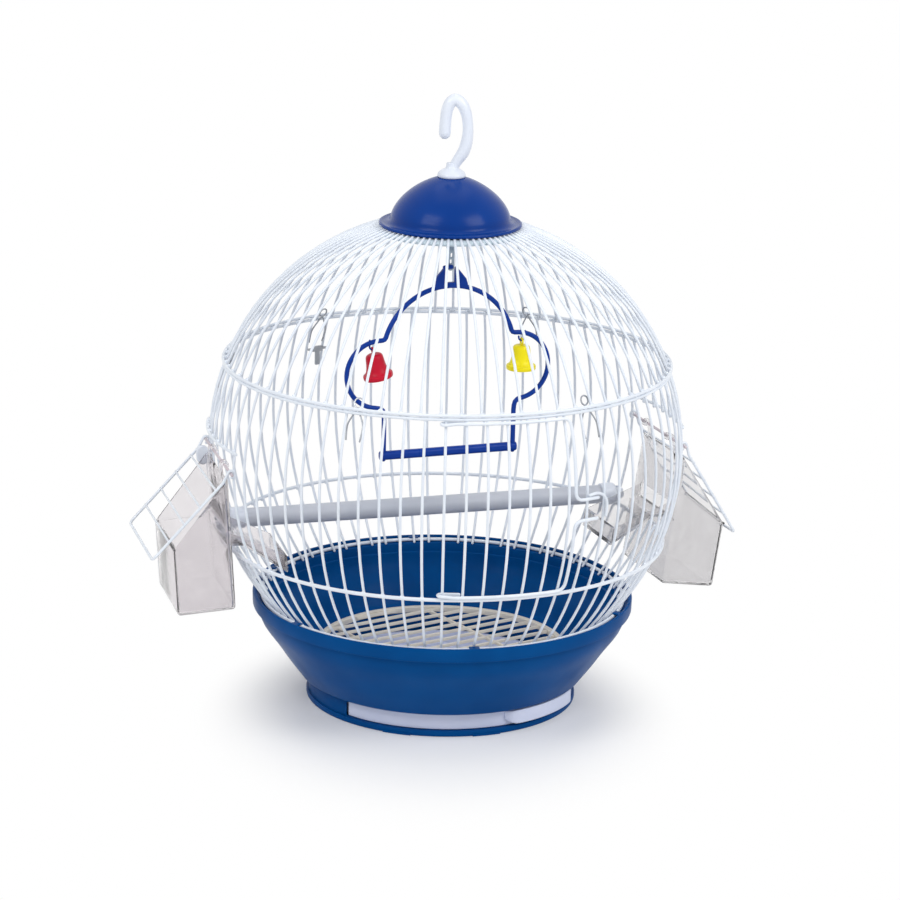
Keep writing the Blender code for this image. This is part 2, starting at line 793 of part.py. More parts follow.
def swing_hanger():
    """A strap held by the nut, bent down beside it and curled round the swing's pivot."""
    top = plate_top() - PLATE_T - GAP
    drop_y = NUT_R + 2.0
    hook_in = PIVOT_D / 2 + 1.2
    outer = hook_in + HANGER_T
    curl_low = arc((0, PIVOT_Z), outer, 0, -180, 6)
    curl_high = arc((0, PIVOT_Z), hook_in, -180, 0, 6)
    outline = [(-drop_y, top), (-drop_y, top - HANGER_T), (drop_y - HANGER_T, top - HANGER_T)]
    outline += [(drop_y - HANGER_T, PIVOT_Z + 14.0), (hook_in, PIVOT_Z + 8.0), (hook_in, PIVOT_Z)]
    outline += curl_high[::-1][1:-1]
    outline += [(-hook_in, PIVOT_Z), (-hook_in, PIVOT_Z + 1.0), (-outer, PIVOT_Z + 1.0)]
    outline += curl_low[::-1]
    outline += [(outer, PIVOT_Z + 7.2), (drop_y, PIVOT_Z + 13.4), (drop_y, top)]
    frame = swing_frame_axes()
    half = HANGER_W / 2
    strap = prism(outline, -half, half, frame, "YZ", "swing_hanger")
    hole = [(0, 0, top + 5.0), (0, 0, top - 5.0)]
    return cut(strap, rod(hole, 2 * STEM_R + 0.8, 8))


def swing_path():
    """The right half of the swing's outline, from the lug down to the end of the leg."""
    start = math.degrees(math.acos(LUG_HALF_W / ARCH_R)) + 3.0
    points = arc((0, ARCH_Z), ARCH_R, start, CORNER_DEG, 5)
    top = arc((BULGE_X, BULGE_Z), BULGE_R, 76.0, -82.0, 7)
    points += [(points[-1][0] + 1.5, points[-1][1] - 0.6), *top]
    foot = SWING_PERCH_Z - SWING_PERCH_D / 2 - 0.6
    points += [(LEG_X + 0.8, top[-1][1] - 2.0), (LEG_X, top[-1][1] - 5.5), (LEG_X, foot)]
    return points


def torus(centre, radius, diameter, segments=10, sides=4):
    """A round loop across the swing's plane."""
    points = []
    for i in range(segments):
        turn = 360.0 * i / segments
        points.append(Vector(centre) + Vector((0, cos_deg(turn), sin_deg(turn))) * radius)
    return rod(points, diameter, sides, closed=True)


def link_place(sign):
    """The middle of the bend that a bell hangs from, in the swing's own plane."""
    wire_z = BULGE_Z + math.sqrt(BULGE_R**2 - (LINK_X - BULGE_X) ** 2)
    return Vector((sign * LINK_X, 0.0, wire_z - SWING_D / 2 - LINK_R + 0.5))


def bell_hook(sign):
    """A small hook in the swing's own plane: a stub down from the wire, a bend and a free end on the inner side."""
    middle = link_place(sign)
    wire_z = BULGE_Z + math.sqrt(BULGE_R**2 - (LINK_X + LINK_R - BULGE_X) ** 2)
    path = [(LINK_R, wire_z - middle.z), *arc((0, 0), LINK_R, 0, -180, 6)]
    return rod([middle + Vector((sign * x, 0.0, z)) for x, z in path], LINK_D, 5)


def swing_frame():
    """The swing's moulded frame: a lug with a pivot bar, an arch, a loop round each bell, two legs and two hooks."""
    frame = swing_frame_axes()
    half_t = LUG_T / 2
    top = PIVOT_Z + PIVOT_D / 2
    lug_outline = [
        (-LUG_HALF_W, LUG_Z),
        (LUG_HALF_W, LUG_Z),
        (LUG_TOP_HALF_W, top),
        (-LUG_TOP_HALF_W, top),
    ]
    slot_low = LUG_Z + 3.0
    lug = prism(lug_outline, -half_t, half_t)
    lug = cut(lug, box((-SLOT_W / 2, -10, slot_low), (SLOT_W / 2, 10, PIVOT_Z - PIVOT_D / 2)))
    parts = [lug]
    right = swing_path()
    for sign in (1, -1):
        parts.append(rod([(sign * x, 0, z) for x, z in right], SWING_D, 5))
        parts.append(bell_hook(sign))
    made = joined(*parts)
    made.transform(frame)
    return made


def swing_perch():
    """The bar at the foot of the swing, on the ends of its legs."""
    frame = swing_frame_axes()
    ends = [(-SWING_PERCH_HALF_L, 0, SWING_PERCH_Z), (SWING_PERCH_HALF_L, 0, SWING_PERCH_Z)]
    bar = rod(ends, SWING_PERCH_D, 8)
    reach = SWING_PERCH_D
    for sign in (1, -1):
        leg = [(sign * LEG_X, 0, SWING_PERCH_Z - reach), (sign * LEG_X, 0, SWING_PERCH_Z + reach)]
        bar = cut(bar, rod(leg, SWING_D + 2 * GAP, 6))
    bar.transform(frame)
    return bar


def bell_pivot(sign):
    """Where the bell's own loop hangs in the hook."""
    return link_place(sign) - Vector((0, 0, LINK_R - LINK_D - 0.25))


def bell_hinge(sign):
    """The middle of the hook's bend, which the bell's loop slides round as the bell swings to and fro."""
    return link_place(sign) - Vector((0, 0, LINK_R))


def bell(sign):
    """A small open bell with its loop."""
    pivot = bell_pivot(sign)
    ring_z = pivot.z - LINK_R
    top = ring_z - LINK_R - LINK_D / 2 + 0.5
    low = top - BELL_H
    mid = mix(BELL_TOP_R, BELL_FLARE_R, 0.42)
    wall = BELL_WALL
    outline = [
        (0, top),
        (BELL_TOP_R - 1.6, top),
        (BELL_TOP_R, top - 1.6),
        (mid, mix(top, low, 0.62)),
        (BELL_FLARE_R, low + 1.0),
        (BELL_FLARE_R, low),
        (BELL_FLARE_R - wall, low),
        (mid - wall, mix(top, low, 0.6)),
        (BELL_TOP_R - wall, top - wall - 1.2),
        (0, top - wall - 0.4),
    ]
    body = turned(outline, BELL_SEGMENTS, "bell")
    body.transform(Matrix.Translation(Vector((pivot.x, 0, 0)) * MM))
    made = joined(body, torus((pivot.x, 0, ring_z), LINK_R, LINK_D))
    made.transform(swing_frame_axes())
    return made


def clapper_pivot(sign):
    """Where the clapper hangs, just under the inside of the bell's crown."""
    pivot = bell_pivot(sign)
    return Vector((pivot.x, 0.0, pivot.z - 2 * LINK_R - LINK_D / 2 + 0.5 - BELL_WALL - 0.4 - GAP))


def clapper(sign):
    """The bead on a short rod inside a bell."""
    pivot = clapper_pivot(sign)
    top = pivot.z
    low = top - CLAPPER_L
    bead = turned([(0, low - CLAPPER_R)] + arc((0, low), CLAPPER_R, -45, 60, 3), 8, "bead")
    bead.transform(Matrix.Translation(Vector((pivot.x, 0, 0)) * MM))
    stalk = rod([(pivot.x, 0, top), (pivot.x, 0, low)], 1.2, 5)
    made = joined(stalk, bead)
    made.transform(swing_frame_axes())
    return made


def perch_ends():
    """The two ends of the perch's axis, each on an upright at the edge of a feeder's opening."""
    z = LOW_RING_Z + ring_side() / 2 + PERCH_NOSE_R + GAP
    radius = wall_radius(z)
    return polar(radius, PERCH_LEFT_DEG, z), polar(radius, PERCH_RIGHT_DEG, z)


def perch_axes():
    """Axes with X along the perch from left to right and the origin at its left end, and its length."""
    left, right = perch_ends()
    along = right - left
    turn = math.atan2(along.y, along.x)
    return Matrix.Translation(left) @ Matrix.Rotation(turn, 4, "Z"), along.length


def along_x(profile, segments, frame):
    """A turned piece whose axis is the frame's X, from a closed (radius, x) outline."""
    made = turned(profile, segments)
    tip = Matrix.Rotation(math.radians(90.0), 4, "Y")
    scaled = frame.copy()
    scaled.translation = frame.translation * MM
    made.transform(scaled @ tip)
    return made


PERCH_COLLAR = 6.6  # the wide part of a cap starts this far inside the upright, clear of the low ring
PERCH_TUBE_FROM = PERCH_COLLAR + PERCH_CAP_L - 5.0


def perch_tube():
    frame, length = perch_axes()
    end = length - PERCH_TUBE_FROM
    outline = [(PERCH_BORE, PERCH_TUBE_FROM), (PERCH_R, PERCH_TUBE_FROM), (PERCH_R, end), (PERCH_BORE, end)]
    return along_x(outline, 12, frame)


def perch_cap(sign):
    """An end cap: a slit nose that takes the upright, a wide collar, and a plug inside the tube."""
    frame, length = perch_axes()
    outline = [
        (0, -PERCH_NOSE_OUT),
        (PERCH_NOSE_R - 2.4, -PERCH_NOSE_OUT),
        (PERCH_NOSE_R, 0.6 - PERCH_NOSE_OUT),
        (PERCH_NOSE_R, PERCH_COLLAR - 1.6),
        (PERCH_CAP_R, PERCH_COLLAR),
        (PERCH_CAP_R, PERCH_TUBE_FROM - GAP),
        (PERCH_BORE - GAP, PERCH_TUBE_FROM - GAP),
        (PERCH_BORE - GAP, PERCH_TUBE_FROM + PERCH_PLUG_L),
        (0, PERCH_TUBE_FROM + PERCH_PLUG_L),
    ]
    slit_from, slit_to = -PERCH_NOSE_OUT - 5.0, WIRE_D / 2 + 3.0
    if sign > 0:
        outline = [(radius, length - x) for radius, x in outline]
        slit_from, slit_to = length - slit_to, length - slit_from
    half = PERCH_SLIT / 2
    slit = box((slit_from, -half, -20.0), (slit_to, half, 20.0), frame)
    return cut(along_x(outline, 12, frame), slit)


def door_wire(level, finger_z, sign):
    """One bent wire of the door: hairpin hinge, level bar, rounded corner, rod and latch finger."""
    hinge = on_wall(-DOOR_HALF_DEG, level)
    out = polar(1.0, -DOOR_HALF_DEG, 0.0)
    along = Vector((cos_deg(-DOOR_HALF_DEG), sin_deg(-DOOR_HALF_DEG), 0.0))
    points = [hinge - out * HAIRPIN_R + along * HAIRPIN_TAIL]
    for angle in (-90, -135, -180, -225, -270):
        points.append(hinge + along * HAIRPIN_R * cos_deg(angle) + out * HAIRPIN_R * sin_deg(angle))
    degree = math.radians(1.0) * SPHERE_R  # millimetres along the wall for a degree of bearing
    corner = DOOR_CORNER / degree
    for bearing in (-12.5, -7.5, -2.5, 2.5, 7.5):
        points.append(on_wall(bearing, level, DOOR_OUT))
    for angle in (90, 60, 30, 0):
        bearing = DOOR_ROD_DEG - corner + corner * cos_deg(angle)
        z = level - sign * DOOR_CORNER * (1 - sin_deg(angle))
        points.append(on_wall(bearing, z, DOOR_OUT))
    bend = 4.0
    start = level - sign * DOOR_CORNER
    stop = finger_z + sign * bend
    for share in (0.34, 0.67, 1.0):
        points.append(on_wall(DOOR_ROD_DEG, mix(start, stop, share), DOOR_OUT))
    for angle in (30, 60, 90):
        bearing = DOOR_ROD_DEG + bend / degree * (1 - cos_deg(angle))
        z = stop - sign * bend * sin_deg(angle)
        points.append(on_wall(bearing, z, DOOR_OUT))
    points.append(on_wall(FINGER_TIP_DEG, finger_z, DOOR_OUT))
    return rod(points, DOOR_D, 6)


def door():
    """The wire door: two bent wires that make its frame, and five upright bars welded behind them."""
    made = joined(door_wire(DOOR_TOP_Z, FINGER_TOP_Z, 1), door_wire(DOOR_LOW_Z, FINGER_LOW_Z, -1))
    pitch = 360.0 / WIRE_COUNT
    count = round(2 * DOOR_HALF_DEG / pitch) - 1
    low, high = latitude(DOOR_LOW_Z), latitude(DOOR_TOP_Z)
    steps = 4
    for i in range(count):
        bearing = -DOOR_HALF_DEG + pitch * (i + 1)
        heights = [SPHERE_Z + SPHERE_R * sin_deg(mix(low, high, k / steps)) for k in range(steps + 1)]
        bar = [on_wall(bearing, z, DOOR_BAR_OUT) for z in heights]
        made = joined(made, rod(bar, WIRE_D, 4))
    return made


def door_axis():
    """The line through the two hairpins, from the lower to the upper."""
    return on_wall(-DOOR_HALF_DEG, DOOR_LOW_Z), on_wall(-DOOR_HALF_DEG, DOOR_TOP_Z)


def door_catch():
    """The hooked wire on the cage that the door's fingers spring behind."""
    out = DOOR_OUT + 0.1
    path = [(20.2, 2.8), (22.4, 2.7), (24.0, 0.6), (25.0, -3.1), (25.2, -7.6), (25.1, -14.1)]
    return rod([on_wall(bearing, FINGER_TOP_Z + rise, out) for bearing, rise in path], CATCH_D, 6)


def feeder_frame(side):
    """Axes of a leaning feeder: X out from its inner face, Y along the wall, Z up the face."""
    height = RAIL_Z - FEEDER_BACK_H - side["hang"]
    place = Matrix.Translation((RAIL_R - side["inset"], 0.0, height))
    return side_frame(side["bearing"]) @ place @ Matrix.Rotation(math.radians(side["lean"]), 4, "Y")


def rail_in_feeder(side):
    """The rail's place in a feeder's own axes."""
    return feeder_frame(side).inverted() @ (side_frame(side["bearing"]) @ Vector((RAIL_R, 0, RAIL_Z)))


def flap_slope(side):
    """How far below level a flap lies: along the line from the rail that clears the hopper's front edge, less its lift."""
    edge = Vector((FEEDER_DEPTH, 0.0, FEEDER_FRONT_H)) - rail_in_feeder(side)
    clear = math.asin((FLAP_D / 2 + GAP) / edge.length)
    return math.degrees(math.atan2(-edge.z, edge.x) - clear) + side["lean"] - side["lift"]


def feeder_ear(side):
    """One of the two hooks at the top of a feeder that hang it on the rail, as an outline (out, up)."""
    wall = FEEDER_WALL
    up = rail_in_feeder(side)
    ring = RAIL_D / 2 + GAP + 0.1
    return [
        (0.2, FEEDER_BACK_H - 8.0),
        (wall, FEEDER_BACK_H - 8.0),
        (up.x + ring + wall, up.z - 1.0),
        (up.x + ring + wall, up.z + ring + wall),
        (up.x - ring - wall, up.z + ring + wall),
        (up.x - ring - wall, up.z - 1.6),
        (up.x - ring, up.z - 1.6),
        (up.x - ring, up.z + ring),
        (up.x + ring, up.z + ring),
        (up.x + ring, up.z - 1.6),
    ]


def feeder(side):
    """A clear hopper outside the wall, open along its slope, with a trough over the low ring and two ears."""
    frame = feeder_frame(side)
    wall = FEEDER_WALL
    half = FEEDER_W / 2
    hopper = [(0, 0), (FEEDER_DEPTH, 0), (FEEDER_DEPTH, FEEDER_FRONT_H), (0, FEEDER_BACK_H)]
    slope = (FEEDER_BACK_H - FEEDER_FRONT_H) / FEEDER_DEPTH
    inside = [
        (wall, wall),
        (FEEDER_DEPTH - wall, wall),
        (FEEDER_DEPTH - wall, FEEDER_FRONT_H + 6.0),
        (wall, FEEDER_BACK_H - slope * wall + 8.0),
    ]
    over_ring = frame.inverted() @ polar(wall_radius(LOW_RING_Z), side["bearing"], LOW_RING_Z)
    saddle_v = over_ring.z + TROUGH_OVER_RING
    rim = saddle_v + TROUGH_MOUTH
    end = rim - TROUGH_FALL
    trough = [
        (0.8, rim),
        (-TROUGH_REACH, end),
        (-TROUGH_REACH, end - TROUGH_DEPTH),
        (-TROUGH_SADDLE, saddle_v),
        (0.8, saddle_v + 1.0),
    ]
    hollow = [
        (wall + 1.0, rim + 1.0),
        (0.0, rim + 1.0),
        (-TROUGH_REACH + wall, end + 4.0),
        (-TROUGH_REACH + wall, end - TROUGH_DEPTH + wall * 1.6),
        (-TROUGH_SADDLE, saddle_v + wall),
        (wall + 1.0, saddle_v + wall + 1.2),
    ]
    trough_half = TROUGH_W / 2
    made = prism(hopper, -half, half, frame)
    made = joined(made, prism(trough, -trough_half, trough_half, frame))
    made = cut(made, prism(inside, -half + wall, half - wall, frame))
    made = cut(made, prism(hollow, -trough_half + wall, trough_half - wall, frame))
    for at in (-EAR_AT, EAR_AT):
        made = joined(made, prism(feeder_ear(side), at - EAR_W / 2, at + EAR_W / 2, frame))
    return made


def feeder_rail(side):
    """The straight bar across a feeder's opening. The feeder hangs on it and the flap turns on it."""
    frame = side_frame(side["bearing"])
    ends = [frame @ Vector((RAIL_R, y, RAIL_Z)) for y in (-RAIL_HALF_L, RAIL_HALF_L)]
    return rod(ends, RAIL_D, 6)


def feeder_flap(side):
    """The wire flap over a feeder: one bent wire with an eye at each end, and cross rods."""
    frame = side_frame(side["bearing"]) @ Matrix.Translation((RAIL_R, 0, RAIL_Z))
    frame = frame @ Matrix.Rotation(math.radians(flap_slope(side)), 4, "Y")
    corner = 4.0
    left = [(x, -FLAP_HALF_W, z) for x, z in arc((0, 0), FLAP_EYE_R, 310, 60, 7)]
    left += [
        (FLAP_FOOT, -FLAP_HALF_W, 0.0),
        (FLAP_L - corner, -FLAP_HALF_W, 0.0),
        (FLAP_L - 1.2, -FLAP_HALF_W + 1.2, 0.0),
        (FLAP_L, -FLAP_HALF_W + corner, 0.0),
    ]
    path = left + [(x, -y, z) for x, y, z in left[::-1]]
    made = rod([frame @ Vector(p) for p in path], FLAP_D, 6)
    for i in range(FLAP_RODS):
        x = FLAP_ROD_PITCH * (i + 1) - 0.5
        ends = [frame @ Vector((x, y, 0.0)) for y in (-FLAP_HALF_W - 0.6, FLAP_HALF_W + 0.6)]
        made = joined(made, rod(ends, FLAP_D - 0.4, 4))
    return made


def ring_clip(bearing):
    """A wire clip round both rings of the joint, open on the inside."""
    radius = wall_radius(JOIN_Z) + RING_OUT
    grip = ring_side() / 2 + GAP + CLIP_D / 2 + 0.3
    top = JOIN_Z + JOIN_SPACING / 2 + grip
    low = JOIN_Z - JOIN_SPACING / 2 - grip
    section = [
        (-grip, top - 1.8),
        (-grip + 0.6, top),
        (grip - 0.6, top),
        (grip + 0.3, top - 1.2),
        (grip + 0.3, low + 1.2),
        (grip - 0.6, low),
        (-grip + 0.6, low),
        (-grip, low + 1.8),
    ]
    lean = math.tan(math.radians(latitude(JOIN_Z)))
    return rod([polar(radius + r - lean * (z - JOIN_Z), bearing, z) for r, z in section], CLIP_D, 4)


def treat_clip():
    """The small clip for a treat, gripping two wires of the lower cage from inside."""
    inward = -(WIRE_D / 2 + 3.9)
    frame = side_frame(TREAT_DEG) @ Matrix.Translation((wall_radius(TREAT_Z) + inward, 0, TREAT_Z))
    half = 0.9
    plate = [(-4.0, 6.0), (4.0, 6.0), (4.0, 2.0), (1.6, 2.0), (1.6, -8.0), (-1.6, -8.0), (-1.6, 2.0), (-4.0, 2.0)]
    made = prism(plate, -half, half, frame, "YZ")
    grips = prism([(-8.0, 4.6), (8.0, 4.6), (8.0, 3.2), (-8.0, 3.2)], -half, half + 0.4, frame, "YZ")
    return joined(made, grips)


def clear_scene():
    for obj in list(bpy.data.objects):
        bpy.data.objects.remove(obj, do_unlink=True)


def build():
    clear_scene()
    base = joint_empty("base_frame", (0, 0, 0))
    piece("base_bowl", base_bowl(), "blue", base)
    piece("floor_grille", floor_grille(), "cream", base)
    piece("lower_cage", lower_cage(), "wire", base)
    piece("upper_dome", upper_dome(), "wire", base)
    for i in range(CLIP_COUNT):
        piece(f"ring_clip_{i + 1}", ring_clip(CLIP_TURN + 360.0 * i / CLIP_COUNT), "grey", base)
    piece("cap", cap(), "blue", base)
    piece("crown_plate", crown_plate(), "hook", base)
    piece("hook_nut", hook_nut(), "hook", base)
    piece("swing_hanger", swing_hanger(), "grey", base)
    piece("perch_tube", perch_tube(), "hook", base)
    piece("perch_cap_left", perch_cap(-1), "hook", base)
    piece("perch_cap_right", perch_cap(1), "hook", base)
    piece("door_catch", door_catch(), "wire", base)
    piece("treat_clip", treat_clip(), "grey", base)

    drawer = joint_empty("tray_slide", (0, 0, FOOT_SILL), base)
    piece("tray", tray(), "tray", drawer)

    swivel = joint_empty("hook_swivel", (0, 0, cap_seat_z()), base)
    piece("hook", hook(), "hook", swivel)

    hinge = joint_empty("door_hinge", door_axis()[0], base)
    piece("door", door(), "wire", hinge)

    for name, side in FEEDERS.items():
        piece(f"feeder_{name}", feeder(side), "clear", base)
        piece(f"feeder_rail_{name}", feeder_rail(side), "wire", base)
        at = side_frame(side["bearing"]) @ Vector((RAIL_R, 0, RAIL_Z))
        turn = joint_empty(f"flap_{name}_hinge", at, base)
        piece(f"feeder_flap_{name}", feeder_flap(side), "wire", turn)

    pivot = joint_empty("swing_hinge", (0, 0, PIVOT_Z), base)
    piece("swing_frame", swing_frame(), "swing_blue", pivot)
    piece("swing_perch", swing_perch(), "swing_blue", pivot)
    for name, sign, look in (("red", -1, "red"), ("yellow", 1, "yellow")):
        at = swing_frame_axes() @ bell_hinge(sign)
        carrier = joint_empty(f"bell_{name}_hinge", at, pivot)
        piece(f"bell_{name}", bell(sign), look, carrier)
        inner = joint_empty(f"clapper_{name}_hinge", swing_frame_axes() @ clapper_pivot(sign), carrier)
        piece(f"clapper_{name}", clapper(sign), "steel", inner)


build()
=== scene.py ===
"""Round wires, moulded plastic and clear feeders for the canary cage, with a floor, soft light and a camera.

Sizes are in millimetres unless a name says otherwise. The origin is the middle of the base's underside, +Z
is up and the door faces -Y. A bearing is an angle in degrees from the front, positive towards +X.
"""

import json
import math

import bmesh
import bpy
from mathutils import Matrix, Vector

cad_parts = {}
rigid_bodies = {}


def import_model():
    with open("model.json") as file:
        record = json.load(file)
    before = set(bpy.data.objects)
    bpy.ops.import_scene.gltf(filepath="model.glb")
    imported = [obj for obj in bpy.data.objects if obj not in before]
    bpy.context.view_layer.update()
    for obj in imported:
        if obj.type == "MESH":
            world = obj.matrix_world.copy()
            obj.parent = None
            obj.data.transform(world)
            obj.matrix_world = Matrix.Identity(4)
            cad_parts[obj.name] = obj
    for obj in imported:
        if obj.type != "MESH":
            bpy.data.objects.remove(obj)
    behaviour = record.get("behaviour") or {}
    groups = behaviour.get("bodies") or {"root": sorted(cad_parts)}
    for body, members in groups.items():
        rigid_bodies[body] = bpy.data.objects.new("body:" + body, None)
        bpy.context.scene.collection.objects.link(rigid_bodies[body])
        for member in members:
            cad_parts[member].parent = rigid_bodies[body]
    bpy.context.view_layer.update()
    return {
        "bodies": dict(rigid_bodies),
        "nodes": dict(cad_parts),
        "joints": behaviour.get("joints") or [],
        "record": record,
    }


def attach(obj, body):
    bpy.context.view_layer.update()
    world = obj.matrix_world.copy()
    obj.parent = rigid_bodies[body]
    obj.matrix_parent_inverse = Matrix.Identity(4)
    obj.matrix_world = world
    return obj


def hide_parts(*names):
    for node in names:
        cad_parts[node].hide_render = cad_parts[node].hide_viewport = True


MM = 0.001

# The wire sphere
SPHERE_R = 165.0
SPHERE_Z = 181.8
DEGREE_MM = math.radians(1.0) * SPHERE_R  # a degree's length along the wall
WIRE_COUNT = 72
WIRE_R = 0.95
RING_R = 1.25
BOTTOM_RING_Z = 74.2
LOW_RING_Z = 117.6
LOW_JOIN_Z = 241.5
HIGH_JOIN_Z = 244.1
JOIN_RING_R = 1.1
DOME_TURN = -1.25  # the dome's wires don't line up with those below
LINTEL_Z = 196.0
CROWN_R = 50.5
CROWN_DROP = 1.0
RING_OFF = WIRE_R + RING_R - 0.15

# Door
DOOR_HALF = 15.0
DOOR_ROD = 16.3
DOOR_R = 1.15
DOOR_OUT = 2.35
DOOR_TOP_Z = 238.3
DOOR_LOW_Z = 120.5
HAIRPIN_R = 2.9
HAIRPIN_TAIL = 11.0
FINGER_TIP = 22.5
FINGER_TOP_Z = 184.6
FINGER_LOW_Z = 170.4

# Feeders
FEEDERS = {
    "left": {"bearing": -90.0, "lean": 3.7, "radius": 156.0, "height": 82.4, "slope": 47.0},
    "right": {"bearing": 95.0, "lean": 8.3, "radius": 152.4, "height": 78.4, "slope": 57.6},
}
FEEDER_HALF = 15.0
FEEDER_W = 75.0
FEEDER_DEPTH = 40.5
FEEDER_BACK_H = 94.0
FEEDER_FRONT_H = 47.3
FEEDER_WALL = 1.6
RAIL_R = 161.7
RAIL_Z = 181.5
RAIL_HALF_L = 49.0
FLAP_HALF_W = 45.5
FLAP_L = 79.0
FLAP_PITCH = 15.7

# Base, tray and grille
FOOT_R = 93.8
TRAY_R = 93.0
SLOT_HALF_DEG = 58.5
TAB_START = 175.0
PAD_BEARINGS = (-33.0, 5.0, 147.0, -147.0)
PULL_START = 13.6
PULL_END = 57.0
GRILLE_IN = 85.5
GRILLE_OUT = 89.5
GRILLE_LOW_Z = 31.3
GRILLE_H = 4.0
GRILLE_PITCH = 12.0
GRILLE_TURN = 20.0
GRILLE_CROSS = 40.0

# Cap and hook
CAP_RISE = 33.0
CAP_CURVE = 2 / 1.65  # the power that makes the cap a little more pointed than a ball
HOOK_TURN = -15.0

# Perch
PERCH_R = 6.7
PERCH_NOSE_R = 5.4
PERCH_Z = LOW_RING_Z + 1.108 + PERCH_NOSE_R + 0.3
PERCH_LEFT = -105.0
PERCH_RIGHT = 110.0

# Swing
SWING_TURN = 5.0
SWING_R = 1.7
SWING_ASIDE = 0.8  # the frame hangs this far off its pivot's middle
LEGS_ASIDE = 2.2
PEG_Z = 309.7
ARCH_R = 48.5
ARCH_Z = 247.57
CORNER_DEG = 17.0
BULGE_X = 50.4
BULGE_Z = 236.0
BULGE_R = 24.0
LEG_X = 48.0
SWING_PERCH_Z = 177.57
LINK_X = 55.0
LINK_Z = 256.27
LINK_R = 2.3
LINK_D = 1.3
RED_LEAN = 13.0
CLAPPER_DROP = 2.1

# Wire clips at the joint of the two halves
CLIP_START = 22.5
CLIP_STEP = 60.0
CLIP_Z = 242.8

# Light and camera
WHITE = (1.0, 1.0, 1.0, 1.0)
LAMP_AIM = Vector((0.0, 0.0, 0.25))
SHADOW_TURN = -15.0
CAMERA_TURN = -15.0
CAMERA_RISE = 14.9
CAMERA_ROLL = 1.27
CAMERA_AWAY_M = 2.4
FOCAL_PX = 3435.0
IMAGE_PX = 900.0


def sin_deg(angle):
    return math.sin(math.radians(angle))


def cos_deg(angle):
    return math.cos(math.radians(angle))


def mix(a, b, share):
    return a + (b - a) * share


def polar(radius, bearing, z):
    return Vector((radius * sin_deg(bearing), -radius * cos_deg(bearing), z))


def latitude(z):
    return math.degrees(math.asin((z - SPHERE_Z) / SPHERE_R))


def wall_radius(z):
    return SPHERE_R * cos_deg(latitude(z))


def on_wall(bearing, z, out=0.0):
    lat = latitude(z)
    return polar((SPHERE_R + out) * cos_deg(lat), bearing, SPHERE_Z + (SPHERE_R + out) * sin_deg(lat))


def side_frame(bearing):
    """Axes at a bearing: X points out from the cage's axis, Y along its wall, Z up."""
    return Matrix.Rotation(math.radians(bearing - 90.0), 4, "Z")


def apart(bearing, centre):
    return abs((bearing - centre + 180.0) % 360.0 - 180.0)


def bearings():
    return [360.0 * i / WIRE_COUNT - 180.0 for i in range(WIRE_COUNT)]


def arc(centre, radius, start, end, steps):
    angles = [mix(start, end, i / steps) for i in range(steps + 1)]
    return [(centre[0] + radius * cos_deg(a), centre[1] + radius * sin_deg(a)) for a in angles]


def curve_through(points, per):
    """A smooth run of points through the given ones."""
    points = [Vector(p) for p in points]
    points = [points[0] * 2 - points[1], *points, points[-1] * 2 - points[-2]]
    made = []
    for before, one, two, after in zip(points, points[1:], points[2:], points[3:]):
        for k in range(per):
            t = k / per
            first = one * 2 + (two - before) * t
            second = (before * 2 - one * 5 + two * 4 - after) * t * t
            third = (one * 3 - before - two * 3 + after) * t * t * t
            made.append((first + second + third) / 2)
    return made + [points[-2]]


def rounded(points, radius, steps=5):
    """A line with its corners rounded, as a wire bends."""
    points = [Vector(p) for p in points]
    made = [points[0]]
    for before, corner, after in zip(points, points[1:], points[2:]):
        one = before - corner
        two = after - corner
        bend = one.angle(two)
        if bend > math.radians(176):
            made.append(corner)
            continue
        reach = min(radius / math.tan(bend / 2), 0.48 * one.length, 0.48 * two.length)
        start = corner + one.normalized() * reach
        end = corner + two.normalized() * reach
        for k in range(steps + 1):
            t = k / steps
            made.append(start * (1 - t) ** 2 + corner * 2 * t * (1 - t) + end * t * t)
    return made + [points[-1]]


def split(points, step):
    """The same line with points at most a step apart."""
    made = [Vector(points[0])]
    for one, two in zip(points, points[1:]):
        one, two = Vector(one), Vector(two)
        parts = max(1, math.ceil((two - one).length / step))
        made += [one.lerp(two, (i + 1) / parts) for i in range(parts)]
    return made


